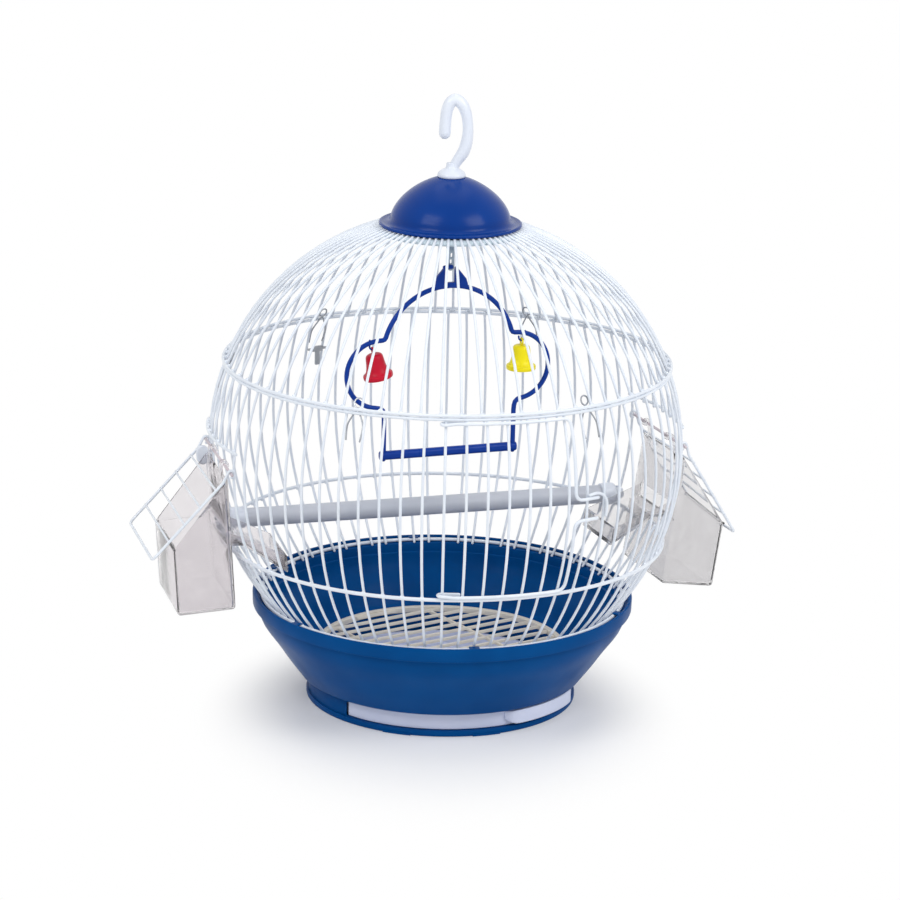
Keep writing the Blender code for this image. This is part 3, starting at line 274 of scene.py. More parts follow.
class Skin:
    """Points in millimetres and faces, gathered into one mesh."""

    def __init__(self):
        self.points = []
        self.faces = []

    def add(self, points, faces, frame=None):
        start = len(self.points)
        points = [frame @ Vector(p) if frame else Vector(p) for p in points]
        self.points += points
        self.faces += [tuple(start + i for i in face) for face in faces]
        return self

    def loops(self, loops, closed=False, frame=None):
        """A skin over loops that have the same number of points. A loop of one point closes an end."""
        points = []
        starts = []
        for loop in loops:
            starts.append((len(points), len(loop)))
            points += loop
        faces = []
        pairs = list(zip(starts, starts[1:]))
        if closed:
            pairs.append((starts[-1], starts[0]))
        for (a, n), (b, m) in pairs:
            for i in range(max(n, m)):
                j = (i + 1) % max(n, m)
                if n == 1:
                    faces.append((a, b + j, b + i))
                elif m == 1:
                    faces.append((a + i, a + j, b))
                else:
                    faces.append((a + i, a + j, b + j, b + i))
        if not closed:
            a, n = starts[0]
            b, m = starts[-1]
            if n > 2:
                faces.append(tuple(a + i for i in reversed(range(n))))
            if m > 2:
                faces.append(tuple(b + i for i in range(m)))
        return self.add(points, faces, frame)

    def tube(self, path, radius, sides=10, closed=False, round_ends=True, frame=None):
        """A round wire along a path, flat where it is closed. The radius is one number or a list."""
        path = [Vector(p) for p in path]
        count = len(path)
        sizes = radius if isinstance(radius, (list, tuple)) else [radius] * count
        loops = []
        ends = []
        normal = None
        for i, point in enumerate(path):
            before = path[i - 1] if i or closed else point
            after = path[(i + 1) % count] if i + 1 < count or closed else point
            along = (after - before).normalized()
            if normal is None:
                guide = Vector((0, 0, 1)) if abs(along.z) < 0.8 else Vector((1, 0, 0))
                normal = along.cross(guide)
            normal = (normal - along * normal.dot(along)).normalized()
            side = along.cross(normal)
            spokes = []
            for k in range(sides):
                turn = 2 * math.pi * k / sides
                spokes.append(normal * math.cos(turn) + side * math.sin(turn))
            ends.append((point, along, spokes, sizes[i]))
            loops.append([point + s * sizes[i] for s in spokes])
        if closed:
            return self.loops(loops, closed=True, frame=frame)
        if round_ends:
            loops = self.dome(ends[0], -1) + loops + self.dome(ends[-1], 1)[::-1]
        return self.loops(loops, frame=frame)

    @staticmethod
    def dome(end, sign):
        point, along, spokes, size = end
        made = [[point + along * size * 0.98 * sign]]
        for angle in (65, 35):
            middle = point + along * (size * sin_deg(angle) * sign)
            made.append([middle + s * size * cos_deg(angle) for s in spokes])
        return made

    def lathe(self, profile, segments, frame=None):
        """A solid of revolution about Z from a closed (radius, z) outline, which may touch the axis."""
        points = []
        columns = []
        for radius, z in profile:
            if radius < 1e-6:
                columns.append([len(points)] * segments)
                points.append((0, 0, z))
            else:
                columns.append(list(range(len(points), len(points) + segments)))
                points += [polar(radius, 360.0 * i / segments, z) for i in range(segments)]
        faces = []
        for k, here in enumerate(columns):
            there = columns[(k + 1) % len(columns)]
            for i in range(segments):
                j = (i + 1) % segments
                corners = []
                for corner in (here[i], here[j], there[j], there[i]):
                    if corner not in corners:
                        corners.append(corner)
                if len(corners) > 2:
                    faces.append(tuple(corners))
        return self.add(points, faces, frame)

    def prism(self, outline, low, high, frame=None, axes="XZ"):
        place = {
            "XZ": lambda a, b, c: Vector((a, c, b)),
            "XY": lambda a, b, c: Vector((a, b, c)),
            "YZ": lambda a, b, c: Vector((c, a, b)),
        }[axes]
        return self.loops([[place(a, b, c) for a, b in outline] for c in (low, high)], frame=frame)

    def box(self, low, high, frame=None):
        outline = [(low[0], low[1]), (high[0], low[1]), (high[0], high[1]), (low[0], high[1])]
        return self.prism(outline, low[2], high[2], frame, "XY")

    def mesh(self, name):
        made = bpy.data.meshes.new(name)
        made.from_pydata([tuple(p * MM) for p in self.points], [], self.faces)
        bm = bmesh.new()
        bm.from_mesh(made)
        bmesh.ops.recalc_face_normals(bm, faces=bm.faces)
        bm.to_mesh(made)
        bm.free()
        return made


def placed(name, data):
    """A new object in the scene."""
    obj = bpy.data.objects.new(name, data)
    bpy.context.scene.collection.objects.link(obj)
    return obj


def as_mesh(shape):
    return shape.mesh("part") if isinstance(shape, Skin) else shape


def scaled(frame):
    """The same placing for a mesh that is already in metres."""
    made = frame.copy()
    made.translation = frame.translation * MM
    return made


def set_smooth(mesh, angle):
    mesh.shade_smooth()
    mesh.set_sharp_from_angle(angle=math.radians(angle))


def applied(obj):
    """The object's mesh with its modifiers made real."""
    graph = bpy.context.evaluated_depsgraph_get()
    made = bpy.data.meshes.new_from_object(obj.evaluated_get(graph))
    obj.modifiers.clear()
    old = obj.data
    obj.data = made
    bpy.data.meshes.remove(old)
    return made


def boolean(mesh, tool, operation):
    body = placed("body", as_mesh(mesh))
    other = placed("other", as_mesh(tool))
    modifier = body.modifiers.new("cut", "BOOLEAN")
    modifier.operation = operation
    modifier.object = other
    modifier.solver = "EXACT"
    made = applied(body)
    bpy.data.objects.remove(body)
    bpy.data.objects.remove(other)
    return made


def joined(mesh, other):
    return boolean(mesh, other, "UNION")


def cut(mesh, tool):
    return boolean(mesh, tool, "DIFFERENCE")


def eased(mesh, width, segments=3, angle=35.0):
    """The mesh with its sharp edges rounded."""
    obj = placed("eased", as_mesh(mesh))
    modifier = obj.modifiers.new("ease", "BEVEL")
    modifier.width = width * MM
    modifier.segments = segments
    modifier.limit_method = "ANGLE"
    modifier.angle_limit = math.radians(angle)
    made = applied(obj)
    bpy.data.objects.remove(obj)
    return made


def piece(name, mesh, body, look, stands_for=(), angle=35.0):
    """A named, finished piece that rides on a body and stands for some of the frame's nodes."""
    mesh = as_mesh(mesh)
    mesh.name = name
    mesh.materials.clear()
    mesh.materials.append(look)
    set_smooth(mesh, angle)
    obj = placed(name, mesh)
    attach(obj, body)
    if stands_for:
        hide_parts(*stands_for)
    return obj


# Materials


def settle(made, inputs):
    for key, value in inputs.items():
        made.inputs[key].default_value = value


def node(tree, kind, inputs=None, **settings):
    made = tree.nodes.new(kind)
    for key, value in settings.items():
        setattr(made, key, value)
    settle(made, inputs or {})
    return made


def noise(tree, scale, detail=3.0, rough=0.5, stretch=(1.0, 1.0, 1.0)):
    """A noise in the piece's own metres, stretched along an axis where that is given."""
    coords = node(tree, "ShaderNodeTexCoord")
    place = node(tree, "ShaderNodeMapping", {"Scale": stretch})
    tree.links.new(coords.outputs["Object"], place.inputs["Vector"])
    made = node(tree, "ShaderNodeTexNoise", {"Scale": scale, "Detail": detail, "Roughness": rough})
    tree.links.new(place.outputs["Vector"], made.inputs["Vector"])
    return made.outputs["Fac"]


def spread(tree, factor, low, high, start=0.35, end=0.65):
    span = {"From Min": start, "From Max": end, "To Min": low, "To Max": high}
    made = node(tree, "ShaderNodeMapRange", span)
    tree.links.new(factor, made.inputs["Value"])
    return made.outputs["Result"]


def tint(tree, factor, one, two):
    ramp = node(tree, "ShaderNodeValToRGB")
    for element, position, colour in zip(ramp.color_ramp.elements, (0.35, 0.65), (one, two)):
        element.position = position
        element.color = (*colour, 1.0)
    tree.links.new(factor, ramp.inputs["Fac"])
    return ramp.outputs["Color"]


def bump(tree, factor, distance, strength=1.0, onto=None):
    made = node(tree, "ShaderNodeBump", {"Distance": distance, "Strength": strength})
    tree.links.new(factor, made.inputs["Height"])
    if onto:
        tree.links.new(onto, made.inputs["Normal"])
    return made.outputs["Normal"]


def linear(rgb):
    """A colour on the screen's 0 to 255 scale as a shader's numbers."""
    return tuple(c / 255 / 12.92 if c / 255 <= 0.04045 else ((c / 255 + 0.055) / 1.055) ** 2.4 for c in rgb)


def new_look(name):
    made = bpy.data.materials.new(name)
    made.use_nodes = True
    return made, made.node_tree, made.node_tree.nodes["Principled BSDF"]


def surface(name, one, two, patch, rough, grain, depth, specular=0.5, coat=0.0, coat_rough=0.1, metal=0.0):
    """A finish whose colour drifts between two near ones, with a grain. Scales are in waves a metre."""
    made, tree, shader = new_look(name)
    drift = noise(tree, patch, 2.0)
    fine = noise(tree, grain, 4.0, 0.6)
    wide = noise(tree, patch * 0.35, 2.0)
    tree.links.new(tint(tree, drift, linear(one), linear(two)), shader.inputs["Base Color"])
    tree.links.new(spread(tree, drift, *rough), shader.inputs["Roughness"])
    soft = bump(tree, wide, depth * 14)
    tree.links.new(bump(tree, fine, depth, 1.0, soft), shader.inputs["Normal"])
    settle(shader, {"Specular IOR Level": specular, "Metallic": metal})
    settle(shader, {"Coat Weight": coat, "Coat Roughness": coat_rough})
    return made


def clear_plastic(name, one, two):
    """Thin hazy styrene with flow marks, through which what stands behind it shows softly."""
    made, tree, shader = new_look(name)
    drift = noise(tree, 60.0, 2.0)
    flow = noise(tree, 240.0, 3.0, 0.5, (0.25, 0.25, 1.0))
    tree.links.new(tint(tree, drift, linear(one), linear(two)), shader.inputs["Base Color"])
    tree.links.new(spread(tree, drift, 0.05, 0.1), shader.inputs["Roughness"])
    tree.links.new(bump(tree, flow, 0.00008), shader.inputs["Normal"])
    settle(shader, {"Transmission Weight": 0.95, "IOR": 1.24})
    return made


# Finishes: name, two near colours, waves a metre of the drift between them, roughness, waves a metre of
# the grain, its depth in metres, specular level, coat, roughness of the coat, metal
FINISHES = {
    "wire": (
        "white_coating", (233, 239, 247), (226, 233, 243), 45, (0.3, 0.42), 900, 0.000012, 0.45, 0.25, 0.2
    ),
    "rail": ("rail_coating", (212, 200, 206), (202, 190, 197), 45, (0.3, 0.42), 900, 0.000012, 0.4),
    "base": ("blue_base", (0, 74, 138), (0, 69, 131), 30, (0.3, 0.42), 2600, 0.00001, 0.05),
    "cap": ("blue_cap", (0, 57, 138), (0, 53, 131), 30, (0.2, 0.27), 2600, 0.000006, 0.13),
    "swing": ("blue_swing", (10, 60, 154), (8, 55, 146), 60, (0.25, 0.34), 2600, 0.000008, 0.16),
    "tray": ("white_tray", (219, 225, 246), (213, 220, 242), 35, (0.3, 0.4), 2000, 0.000008, 0.35),
    "cream": ("cream_grille", (222, 216, 204), (212, 206, 196), 50, (0.4, 0.55), 1800, 0.00001, 0.3),
    "white": (
        "white_plastic", (228, 234, 244), (220, 227, 240), 40, (0.3, 0.4), 2000, 0.000008, 0.4, 0.2, 0.2
    ),
    "pale": ("pale_plate", (198, 212, 221), (190, 205, 214), 40, (0.35, 0.45), 1600, 0.00001, 0.3),
    "perch": ("perch_plastic", (198, 202, 212), (190, 195, 206), 40, (0.35, 0.45), 1600, 0.00001, 0.35),
    "clip": (
        "clip_wire", (172, 175, 181), (157, 161, 168), 70, (0.25, 0.4), 1500, 0.000006, 0.5, 0.0, 0.1, 0.6
    ),
    "strap": (
        "strap_steel", (168, 182, 197), (156, 171, 187), 70, (0.3, 0.42), 1500, 0.000006, 0.4, 0.0, 0.1, 0.3
    ),
    "red": ("red_bell", (206, 22, 52), (196, 16, 46), 60, (0.26, 0.36), 2200, 0.000008, 0.2),
    "yellow": ("yellow_bell", (252, 236, 24), (247, 228, 18), 60, (0.26, 0.36), 2200, 0.000008, 0.25),
    "steel": (
        "steel_bead", (190, 192, 196), (176, 178, 184), 90, (0.2, 0.3), 1500, 0.000004, 0.5, 0.0, 0.1, 1.0
    ),
}


def looks():
    made = {key: surface(*row) for key, row in FINISHES.items()}
    made["clear_left"] = clear_plastic("hazy_styrene_left", (233, 230, 232), (238, 235, 237))
    made["clear_right"] = clear_plastic("hazy_styrene_right", (232, 231, 232), (237, 236, 237))
    return made


# The wire wall


def in_door(bearing):
    return apart(bearing, 0.0) < DOOR_HALF - 0.1


def in_feeder(bearing):
    return any(apart(bearing, side["bearing"]) < FEEDER_HALF - 0.1 for side in FEEDERS.values())


def meridian(bearing, low, high, step=4.0):
    """Points up the wall between two heights."""
    start, end = latitude(low), latitude(high)
    steps = max(1, round((end - start) / step))
    made = []
    for i in range(steps + 1):
        lat = mix(start, end, i / steps)
        made.append(polar(SPHERE_R * cos_deg(lat), bearing, SPHERE_Z + SPHERE_R * sin_deg(lat)))
    return made


def level_ring(skin, z, radius, size=RING_R, span=None):
    """A ring, or an arc of one, at a height."""
    if span:
        steps = round((span[1] - span[0]) / 2.5)
        points = [polar(radius, mix(span[0], span[1], i / steps), z) for i in range(steps + 1)]
        skin.tube(points, size)
    else:
        points = [polar(radius, 2.5 * i, z) for i in range(144)]
        skin.tube(points, size, closed=True)


def outer_ring_radius(z):
    return wall_radius(z) + RING_OFF / cos_deg(latitude(z))


def weld(skin, point, side):
    """The small fillet that the coating leaves where two wires cross."""
    up = Vector((0, 0, 1))
    out = side.cross(up)
    frame = Matrix((side, out, up)).transposed().to_4x4()
    frame.translation = point
    loops = []
    for angle in (-60, -25, 25, 60):
        radius = 1.55 * cos_deg(angle)
        level = 1.9 * sin_deg(angle)
        wide, deep = 1.25 * radius, 0.95 * radius
        loops.append([Vector((wide * cos_deg(60 * k), deep * sin_deg(60 * k), level)) for k in range(6)])
    skin.loops([[Vector((0, 0, -1.9))]] + loops + [[Vector((0, 0, 1.9))]], frame=frame)


def welds(skin, z, places):
    for bearing in places:
        across = Vector((cos_deg(bearing), sin_deg(bearing), 0.0))
        point = polar(mix(wall_radius(z), outer_ring_radius(z), 0.45), bearing, z)
        weld(skin, point, across)


def lower_cage():
    skin = Skin()
    every = bearings()
    bottom, top = BOTTOM_RING_Z - 0.9, LOW_JOIN_Z + 1.0
    for bearing in every:
        short = in_door(bearing) or in_feeder(bearing)
        skin.tube(meridian(bearing, bottom, LOW_RING_Z + 0.9 if short else top), WIRE_R)
        if in_feeder(bearing):
            skin.tube(meridian(bearing, LINTEL_Z - 0.9, top), WIRE_R)
    level_ring(skin, BOTTOM_RING_Z, outer_ring_radius(BOTTOM_RING_Z))
    level_ring(skin, LOW_RING_Z, outer_ring_radius(LOW_RING_Z))
    level_ring(skin, LOW_JOIN_Z, outer_ring_radius(LOW_JOIN_Z) - 0.8, JOIN_RING_R)
    for side in FEEDERS.values():
        reach = FEEDER_HALF + 2.0
        span = (side["bearing"] - reach, side["bearing"] + reach)
        level_ring(skin, LINTEL_Z, outer_ring_radius(LINTEL_Z), 1.1, span)
        welds(skin, LINTEL_Z, [b for b in every if apart(b, side["bearing"]) < reach])
    welds(skin, LOW_RING_Z, every)
    welds(skin, LOW_JOIN_Z, [b for b in every if not in_door(b)])
    return skin


def crown_z():
    return SPHERE_Z + math.sqrt(SPHERE_R**2 - CROWN_R**2) - CROWN_DROP


def upper_dome():
    skin = Skin()
    start, end = latitude(HIGH_JOIN_Z - 1.0), math.degrees(math.acos(47.5 / SPHERE_R))
    places = [bearing + DOME_TURN for bearing in bearings()]
    for bearing in places:
        points = []
        for i in range(14):
            lat = mix(start, end, i / 13)
            z = SPHERE_Z + SPHERE_R * sin_deg(lat) - CROWN_DROP * (i / 13) ** 2
            points.append(polar(SPHERE_R * cos_deg(lat), bearing, z))
        skin.tube(points, WIRE_R)
    level_ring(skin, HIGH_JOIN_Z, outer_ring_radius(HIGH_JOIN_Z) + 0.6, JOIN_RING_R)
    level_ring(skin, crown_z() - RING_OFF, CROWN_R + 0.5)
    welds(skin, HIGH_JOIN_Z, places)
    return skin


# Door and catch


def wall_line(points, radius, step=4.0):
    """A bent wire from (millimetres along the wall, height, distance out), with rounded corners."""
    flat = [Vector((b * DEGREE_MM, z, out)) for b, z, out in points]
    return [on_wall(p.x / DEGREE_MM, p.y, p.z) for p in split(rounded(flat, radius), step)]


def door_wire(level, finger_z):
    hinge = on_wall(-DOOR_HALF, level)
    out = polar(1.0, -DOOR_HALF, 0.0)
    along = Vector((cos_deg(-DOOR_HALF), sin_deg(-DOOR_HALF), 0.0))
    tail = [hinge - out * HAIRPIN_R + along * HAIRPIN_TAIL]
    for i in range(9):
        angle = -90 - 180 * i / 8
        tail.append(hinge + along * HAIRPIN_R * cos_deg(angle) + out * HAIRPIN_R * sin_deg(angle))
    path = [
        (-12.5, level, DOOR_OUT), (DOOR_ROD, level, DOOR_OUT), (DOOR_ROD, finger_z, DOOR_OUT),
        (FINGER_TIP, finger_z, DOOR_OUT),
    ]
    return tail + wall_line(path, 6.0)


def door():
    skin = Skin()
    skin.tube(door_wire(DOOR_TOP_Z, FINGER_TOP_Z), DOOR_R, 12)
    skin.tube(door_wire(DOOR_LOW_Z, FINGER_LOW_Z), DOOR_R, 12)
    heights = [mix(DOOR_LOW_Z - 1.2, DOOR_TOP_Z + 1.2, k / 14) for k in range(15)]
    for bearing in (-10.0, -5.0, 0.0, 5.0, 10.0):
        skin.tube([on_wall(bearing, z, 0.7) for z in heights], WIRE_R)
    return skin


def door_catch():
    out = DOOR_OUT + 0.1
    path = [
        (20.1, 187.0, out - 0.3), (22.2, 187.6, out), (24.0, 185.6, out), (25.0, 181.5, out),
        (25.2, 177.0, out), (25.1, 171.0, out - 0.2),
    ]
    smooth = curve_through([Vector((b * DEGREE_MM, z, o)) for b, z, o in path], 6)
    return Skin().tube([on_wall(p.x / DEGREE_MM, p.y, p.z) for p in smooth], 1.05, 12)


# Base, tray and grille


def base_profile():
    """The bowl's outline (radius, height), outside from the foot to the rim, then back down inside."""
    outside = [
        (0, 0), (92.6, 0), (94.6, 0.0), (95.3, 0.5), (95.5, 1.2), (95.5, 3.5), (95.2, 4.1), (94.6, 4.3),
        (93.8, 4.3), (93.8, 17.0), (97.4, 17.0), (98.9, 17.2), (100.2, 18.0), (101.2, 19.4), (103.6, 22.6),
        (106.2, 26.0), (109.0, 29.8), (112.0, 34.0), (114.6, 38.0), (117.1, 41.6), (119.5, 45.0),
        (122.1, 48.4), (124.8, 52.0), (127.3, 55.8), (129.0, 59.6), (130.1, 63.2), (130.5, 66.4),
        (133.0, 66.6), (133.7, 66.9), (134.0, 67.6), (134.2, 74.9), (133.9, 75.7), (133.2, 76.2),
    ]
    inside = [
        (132.4, 76.2), (131.8, 75.8), (131.6, 75.2), (131.6, 73.0), (131.2, 72.65), (124.8, 72.65),
        (124.2, 72.4), (123.9, 71.8), (123.7, 66.4), (123.2, 65.9), (122.7, 65.6), (122.0, 60.5),
        (120.4, 56.4), (117.8, 52.8), (114.6, 49.2), (111.8, 45.4), (109.8, 41.0), (107.8, 36.6),
        (106.2, 33.4), (104.8, 31.6), (103.0, 31.0), (85.6, 31.0), (85.0, 30.5), (85.0, 29.1), (85.6, 28.6),
        (91.0, 20.0), (91.4, 18.6), (91.4, 3.0), (90.4, 2.0), (0, 2.0),
    ]
    return outside + inside


def base_bowl():
    body = Skin().lathe(base_profile(), 128)
    half = FOOT_R * sin_deg(SLOT_HALF_DEG)
    slot = eased(Skin().box((-half, -112.0, 4.3), (half, -30.0, 16.95)), 1.2, 3)
    body = cut(body, slot)
    for x in (-48.0, 48.0):
        body = joined(body, Skin().box((x - 1.5, -78.2, 1.5), (x + 1.5, 78.2, 4.3)))
    for i in range(6):
        frame = side_frame(TAB_START + 60.0 * i)
        tab = [(132.4, 74.75), (132.4, 75.9), (130.0, 75.9), (127.0, 76.15), (126.6, 75.9), (127.0, 75.35)]
        body = joined(body, eased(Skin().prism(tab, -3.5, 3.5, frame), 0.35, 2))
    return body


def foot_pads():
    """The four low pads that the foot stands on."""
    skin = Skin()
    for bearing in PAD_BEARINGS:
        loops = []
        for k in range(9):
            angle = bearing - 6.0 + 1.5 * k
            section = [
                (88.0, 0.0), (95.9, 0.0), (96.2, 0.5), (96.2, 1.6), (95.6, 1.9), (95.2, 2.0), (88.0, 1.0),
            ]
            loops.append([polar(r, angle, z) for r, z in section])
        skin.loops(loops)
    return skin


def tray_outline(inset):
    front_r = TRAY_R - inset
    back_r = 88.5 - inset
    half_w = TRAY_R * sin_deg(57.5) - inset
    front_deg = math.degrees(math.asin(half_w / front_r))
    back_deg = math.degrees(math.asin(half_w / back_r))
    front = [front_deg * k / 16 for k in range(-16, 17)]
    back = [back_deg * k / 12 for k in range(12, -13, -1)]
    made = [(front_r * sin_deg(a), -front_r * cos_deg(a)) for a in front]
    return made + [(back_r * sin_deg(a), back_r * cos_deg(a)) for a in back]


def tray():
    body = eased(Skin().prism(tray_outline(0.0), 4.6, 16.5, axes="XY"), 0.7, 3)
    hollow = eased(Skin().prism(tray_outline(1.8), 6.4, 26.0, axes="XY"), 1.2, 3)
    body = cut(body, hollow)
    steps = 30
    loops = []
    for i in range(steps + 1):
        angle = mix(PULL_START, PULL_END, i / steps)
        near = min(1.0, (i + 0.4) / 5.0)
        far = min(1.0, (steps - i + 0.6) / 3.0)
        front = TRAY_R + 5.6 * math.sin(math.pi / 2 * near) ** 0.7 * far**0.4
        low = mix(10.4, 6.2, min(1.0, (i + 0.2) / 3.0) ** 0.6) + 1.6 * (1 - far)
        top = 16.2 - 1.0 * (1 - near)
        section = [
            (92.4, top - 2.4), (front - 2.2, top - 2.6), (front - 2.2, low + 0.6), (front - 1.7, low),
            (front - 0.6, low), (front, low + 0.8), (front, top - 1.4), (front - 0.5, top - 0.3),
            (front - 1.4, top), (92.4, top),
        ]
        loops.append([polar(r, angle, z) for r, z in section])
    return joined(body, Skin().loops(loops))


def floor_grille():
    low = GRILLE_LOW_Z
    top = low + GRILLE_H
    inner, outer = GRILLE_IN, GRILLE_OUT
    ring = [
        (inner + 0.2, low), (outer - 0.2, low), (outer, low + 0.3), (outer, top - 0.5), (outer - 0.5, top),
        (inner + 0.6, top), (inner, top - 0.5), (inner, low + 0.3),
    ]
    made = Skin().lathe(ring, 120)
    frame = Matrix.Rotation(math.radians(GRILLE_TURN), 4, "Z")
    section = [(-1.1, -1.0), (1.1, -1.0), (1.0, 0.4), (0.6, 0.95), (-0.6, 0.95), (-1.0, 0.4)]
    bars = [(i * GRILLE_PITCH, top - 1.8, "YZ") for i in range(-7, 8)]
    bars += [(x, low + 1.2, "XZ") for x in (-GRILLE_CROSS, GRILLE_CROSS)]
    for at, z, axes in bars:
        run = math.sqrt(inner**2 - at**2) + 0.8
        bar = Skin().prism([(at + a, z + b) for a, b in section], -run, run, frame, axes)
        made = joined(made, bar)
    return made


# Cap and hook


def brim_z():
    top_of_wire = SPHERE_Z + math.sqrt((SPHERE_R + WIRE_R) ** 2 - 49.5**2)
    return top_of_wire - CROWN_DROP + 0.3


def cap():
    """The cap: a rounded, slightly pointed dome with a rolled brim and a flat seat for the hook."""
    low = brim_z()
    seat = low + CAP_RISE
    outside = [
        (48.7, low - 0.2), (49.2, low + 0.1), (49.4, low + 0.9), (49.1, low + 1.7), (48.5, low + 2.0),
        (47.2, low + 1.7), (45.2, low + 1.6), (43.4, low + 1.9), (42.3, low + 2.7), (41.7, low + 3.6),
    ]
    start = low + 4.2
    rise = (seat - start) / 0.9446
    power = CAP_CURVE
    for angle in range(2, 72, 4):
        outside.append((41.4 * cos_deg(angle) ** power, start + rise * sin_deg(angle) ** power))
    outside += [(9.7, seat), (2.3, seat)]
    inside = [(2.3, seat - 1.8), (8.4, seat - 1.9)]
    for angle in range(70, 0, -8):
        inside.append((39.6 * cos_deg(angle) ** power, start + (rise - 2.0) * sin_deg(angle) ** power))
    inside += [
        (39.6, start), (39.8, low + 2.4), (40.8, low + 0.9), (42.4, low + 0.2), (45.0, low - 0.1),
        (47.2, low),
    ]
    return Skin().lathe(outside + inside, 128)


def crown_collar():
    """The pale plate under the wires where they meet, whose edge shows below the brim."""
    slope = [
        (2.4, 336.4), (43.6, 336.4), (44.6, 338.2), (48.0, 338.3), (50.4, 337.6), (52.2, 336.6),
        (52.7, 335.8), (52.5, 335.0), (51.6, 334.7), (46.0, 335.2), (44.0, 334.8), (2.4, 334.8),
    ]
    return Skin().lathe(slope, 128)


def hook():
    seat = brim_z() + CAP_RISE + 0.3
    flange = [
        (0, seat - 0.2), (9.2, seat - 0.2), (9.7, seat + 0.3), (9.8, seat + 1.3), (9.4, seat + 2.6),
        (8.2, seat + 3.9), (6.6, seat + 4.9), (5.0, seat + 5.5), (4.2, seat + 6.3), (3.8, seat + 7.6),
        (3.6, seat + 9.6), (0, seat + 9.8),
    ]
    frame = Matrix.Rotation(math.radians(HOOK_TURN), 4, "Z")
    made = Skin().lathe(flange, 48, frame)
    centre = [
        (1.4, 376.6, 3.5), (2.0, 380.6, 3.5), (4.2, 384.6, 3.8), (7.4, 389.4, 4.2), (9.6, 395.6, 4.15),
        (10.6, 403.4, 3.75), (10.3, 410.6, 3.65), (9.0, 417.2, 3.8), (6.3, 422.8, 4.05), (2.2, 426.1, 4.2),
        (-1.6, 424.2, 4.2), (-3.8, 419.4, 4.05), (-4.7, 413.4, 3.95), (-5.1, 407.4, 4.05),
        (-5.2, 402.8, 4.1),
    ]
    path = curve_through([Vector((x, r * 10.0, z)) for x, z, r in centre], 5)
    sizes = [p.y / 10.0 for p in path]
    points = [frame @ Vector((p.x, 0.0, p.z)) for p in path]
    crook = Skin().tube(points, sizes, 24)
    plate = brim_z() - 1.0
    stem = Skin().tube([(0, 0, seat + 0.8), (0, 0, plate - 11.7)], 1.7, 20, round_ends=False)
    turns = [(cos_deg(30 * k), sin_deg(30 * k), k * 0.7 / 12) for k in range(72)]
    thread = [(1.62 * x, 1.62 * y, plate - 11.2 + rise) for x, y, rise in turns]
    stem.tube(thread, 0.22, 6)
    return made, crook, stem


# Feeders


def feeder_frame(side):
    place = Matrix.Translation((side["radius"], 0.0, side["height"]))
    return side_frame(side["bearing"]) @ place @ Matrix.Rotation(math.radians(side["lean"]), 4, "Y")


def ear_outline(side):
    wall = FEEDER_WALL
    up = feeder_frame(side).inverted() @ (side_frame(side["bearing"]) @ Vector((RAIL_R, 0, RAIL_Z)))
    outer = 1.4 + wall
    loop = arc((up.x, up.z), outer, 0, 180, 10)
    inner = arc((up.x, up.z), 1.4, 180, 0, 10)
    made = [(0.2, FEEDER_BACK_H - 8.0), (wall, FEEDER_BACK_H - 8.0), (up.x + outer, up.z - 1.0), *loop]
    return made + [(up.x - outer, up.z - 1.6), (up.x - 1.4, up.z - 1.6), *inner, (up.x + 1.4, up.z - 1.6)]


def feeder(side):
    """A clear hopper outside the wall with a trough over the low ring and two ears on the rail."""
    frame = feeder_frame(side)
    wall = FEEDER_WALL
    half = FEEDER_W / 2
    slope = (FEEDER_BACK_H - FEEDER_FRONT_H) / FEEDER_DEPTH
    hopper = [(0, 0), (FEEDER_DEPTH, 0), (FEEDER_DEPTH, FEEDER_FRONT_H), (0, FEEDER_BACK_H)]
    inside = [
        (wall, wall), (FEEDER_DEPTH - wall, wall), (FEEDER_DEPTH - wall, FEEDER_FRONT_H + 6.0),
        (wall, FEEDER_BACK_H - slope * wall + 8.0),
    ]
    ring = side_frame(side["bearing"]) @ Vector((outer_ring_radius(LOW_RING_Z), 0.0, LOW_RING_Z))
    saddle = (frame.inverted() @ ring).z + 6.6
    trough = [(0.8, 11.6), (-39.8, -10.8), (-39.8, -23.3), (-10.0, 0.0), (0.8, 1.0)]
    trough = [(x, saddle + z) for x, z in trough]
    hollow = [
        (wall + 1.0, 12.6), (0.0, 12.6), (-38.2, -6.8), (-38.2, -20.7), (-10.0, 1.6), (wall + 1.0, 2.8),
    ]
    hollow = [(x, saddle + z) for x, z in hollow]
    body = eased(Skin().prism(hopper, -half, half, frame), 2.4, 4)
    body = joined(body, eased(Skin().prism(trough, -27.0, 27.0, frame), 0.9, 2))
    front = FEEDER_DEPTH + 0.35
    step = [(-0.3, 46.6), (front, 46.6), (front, 48.0), (-0.3, 48.0)]
    step = Skin().prism(step, -half - 0.35, half + 0.35, frame)
    body = joined(body, eased(step, 0.3, 2))
    body = cut(body, eased(Skin().prism(inside, wall - half, half - wall, frame), 1.6, 3))
    body = cut(body, eased(Skin().prism(hollow, -25.4, 25.4, frame), 0.8, 2))
    ears = ear_outline(side)
    for at in (-20.0, 20.0):
        body = joined(body, Skin().prism(ears, at - 3.0, at + 3.0, frame))
    return body


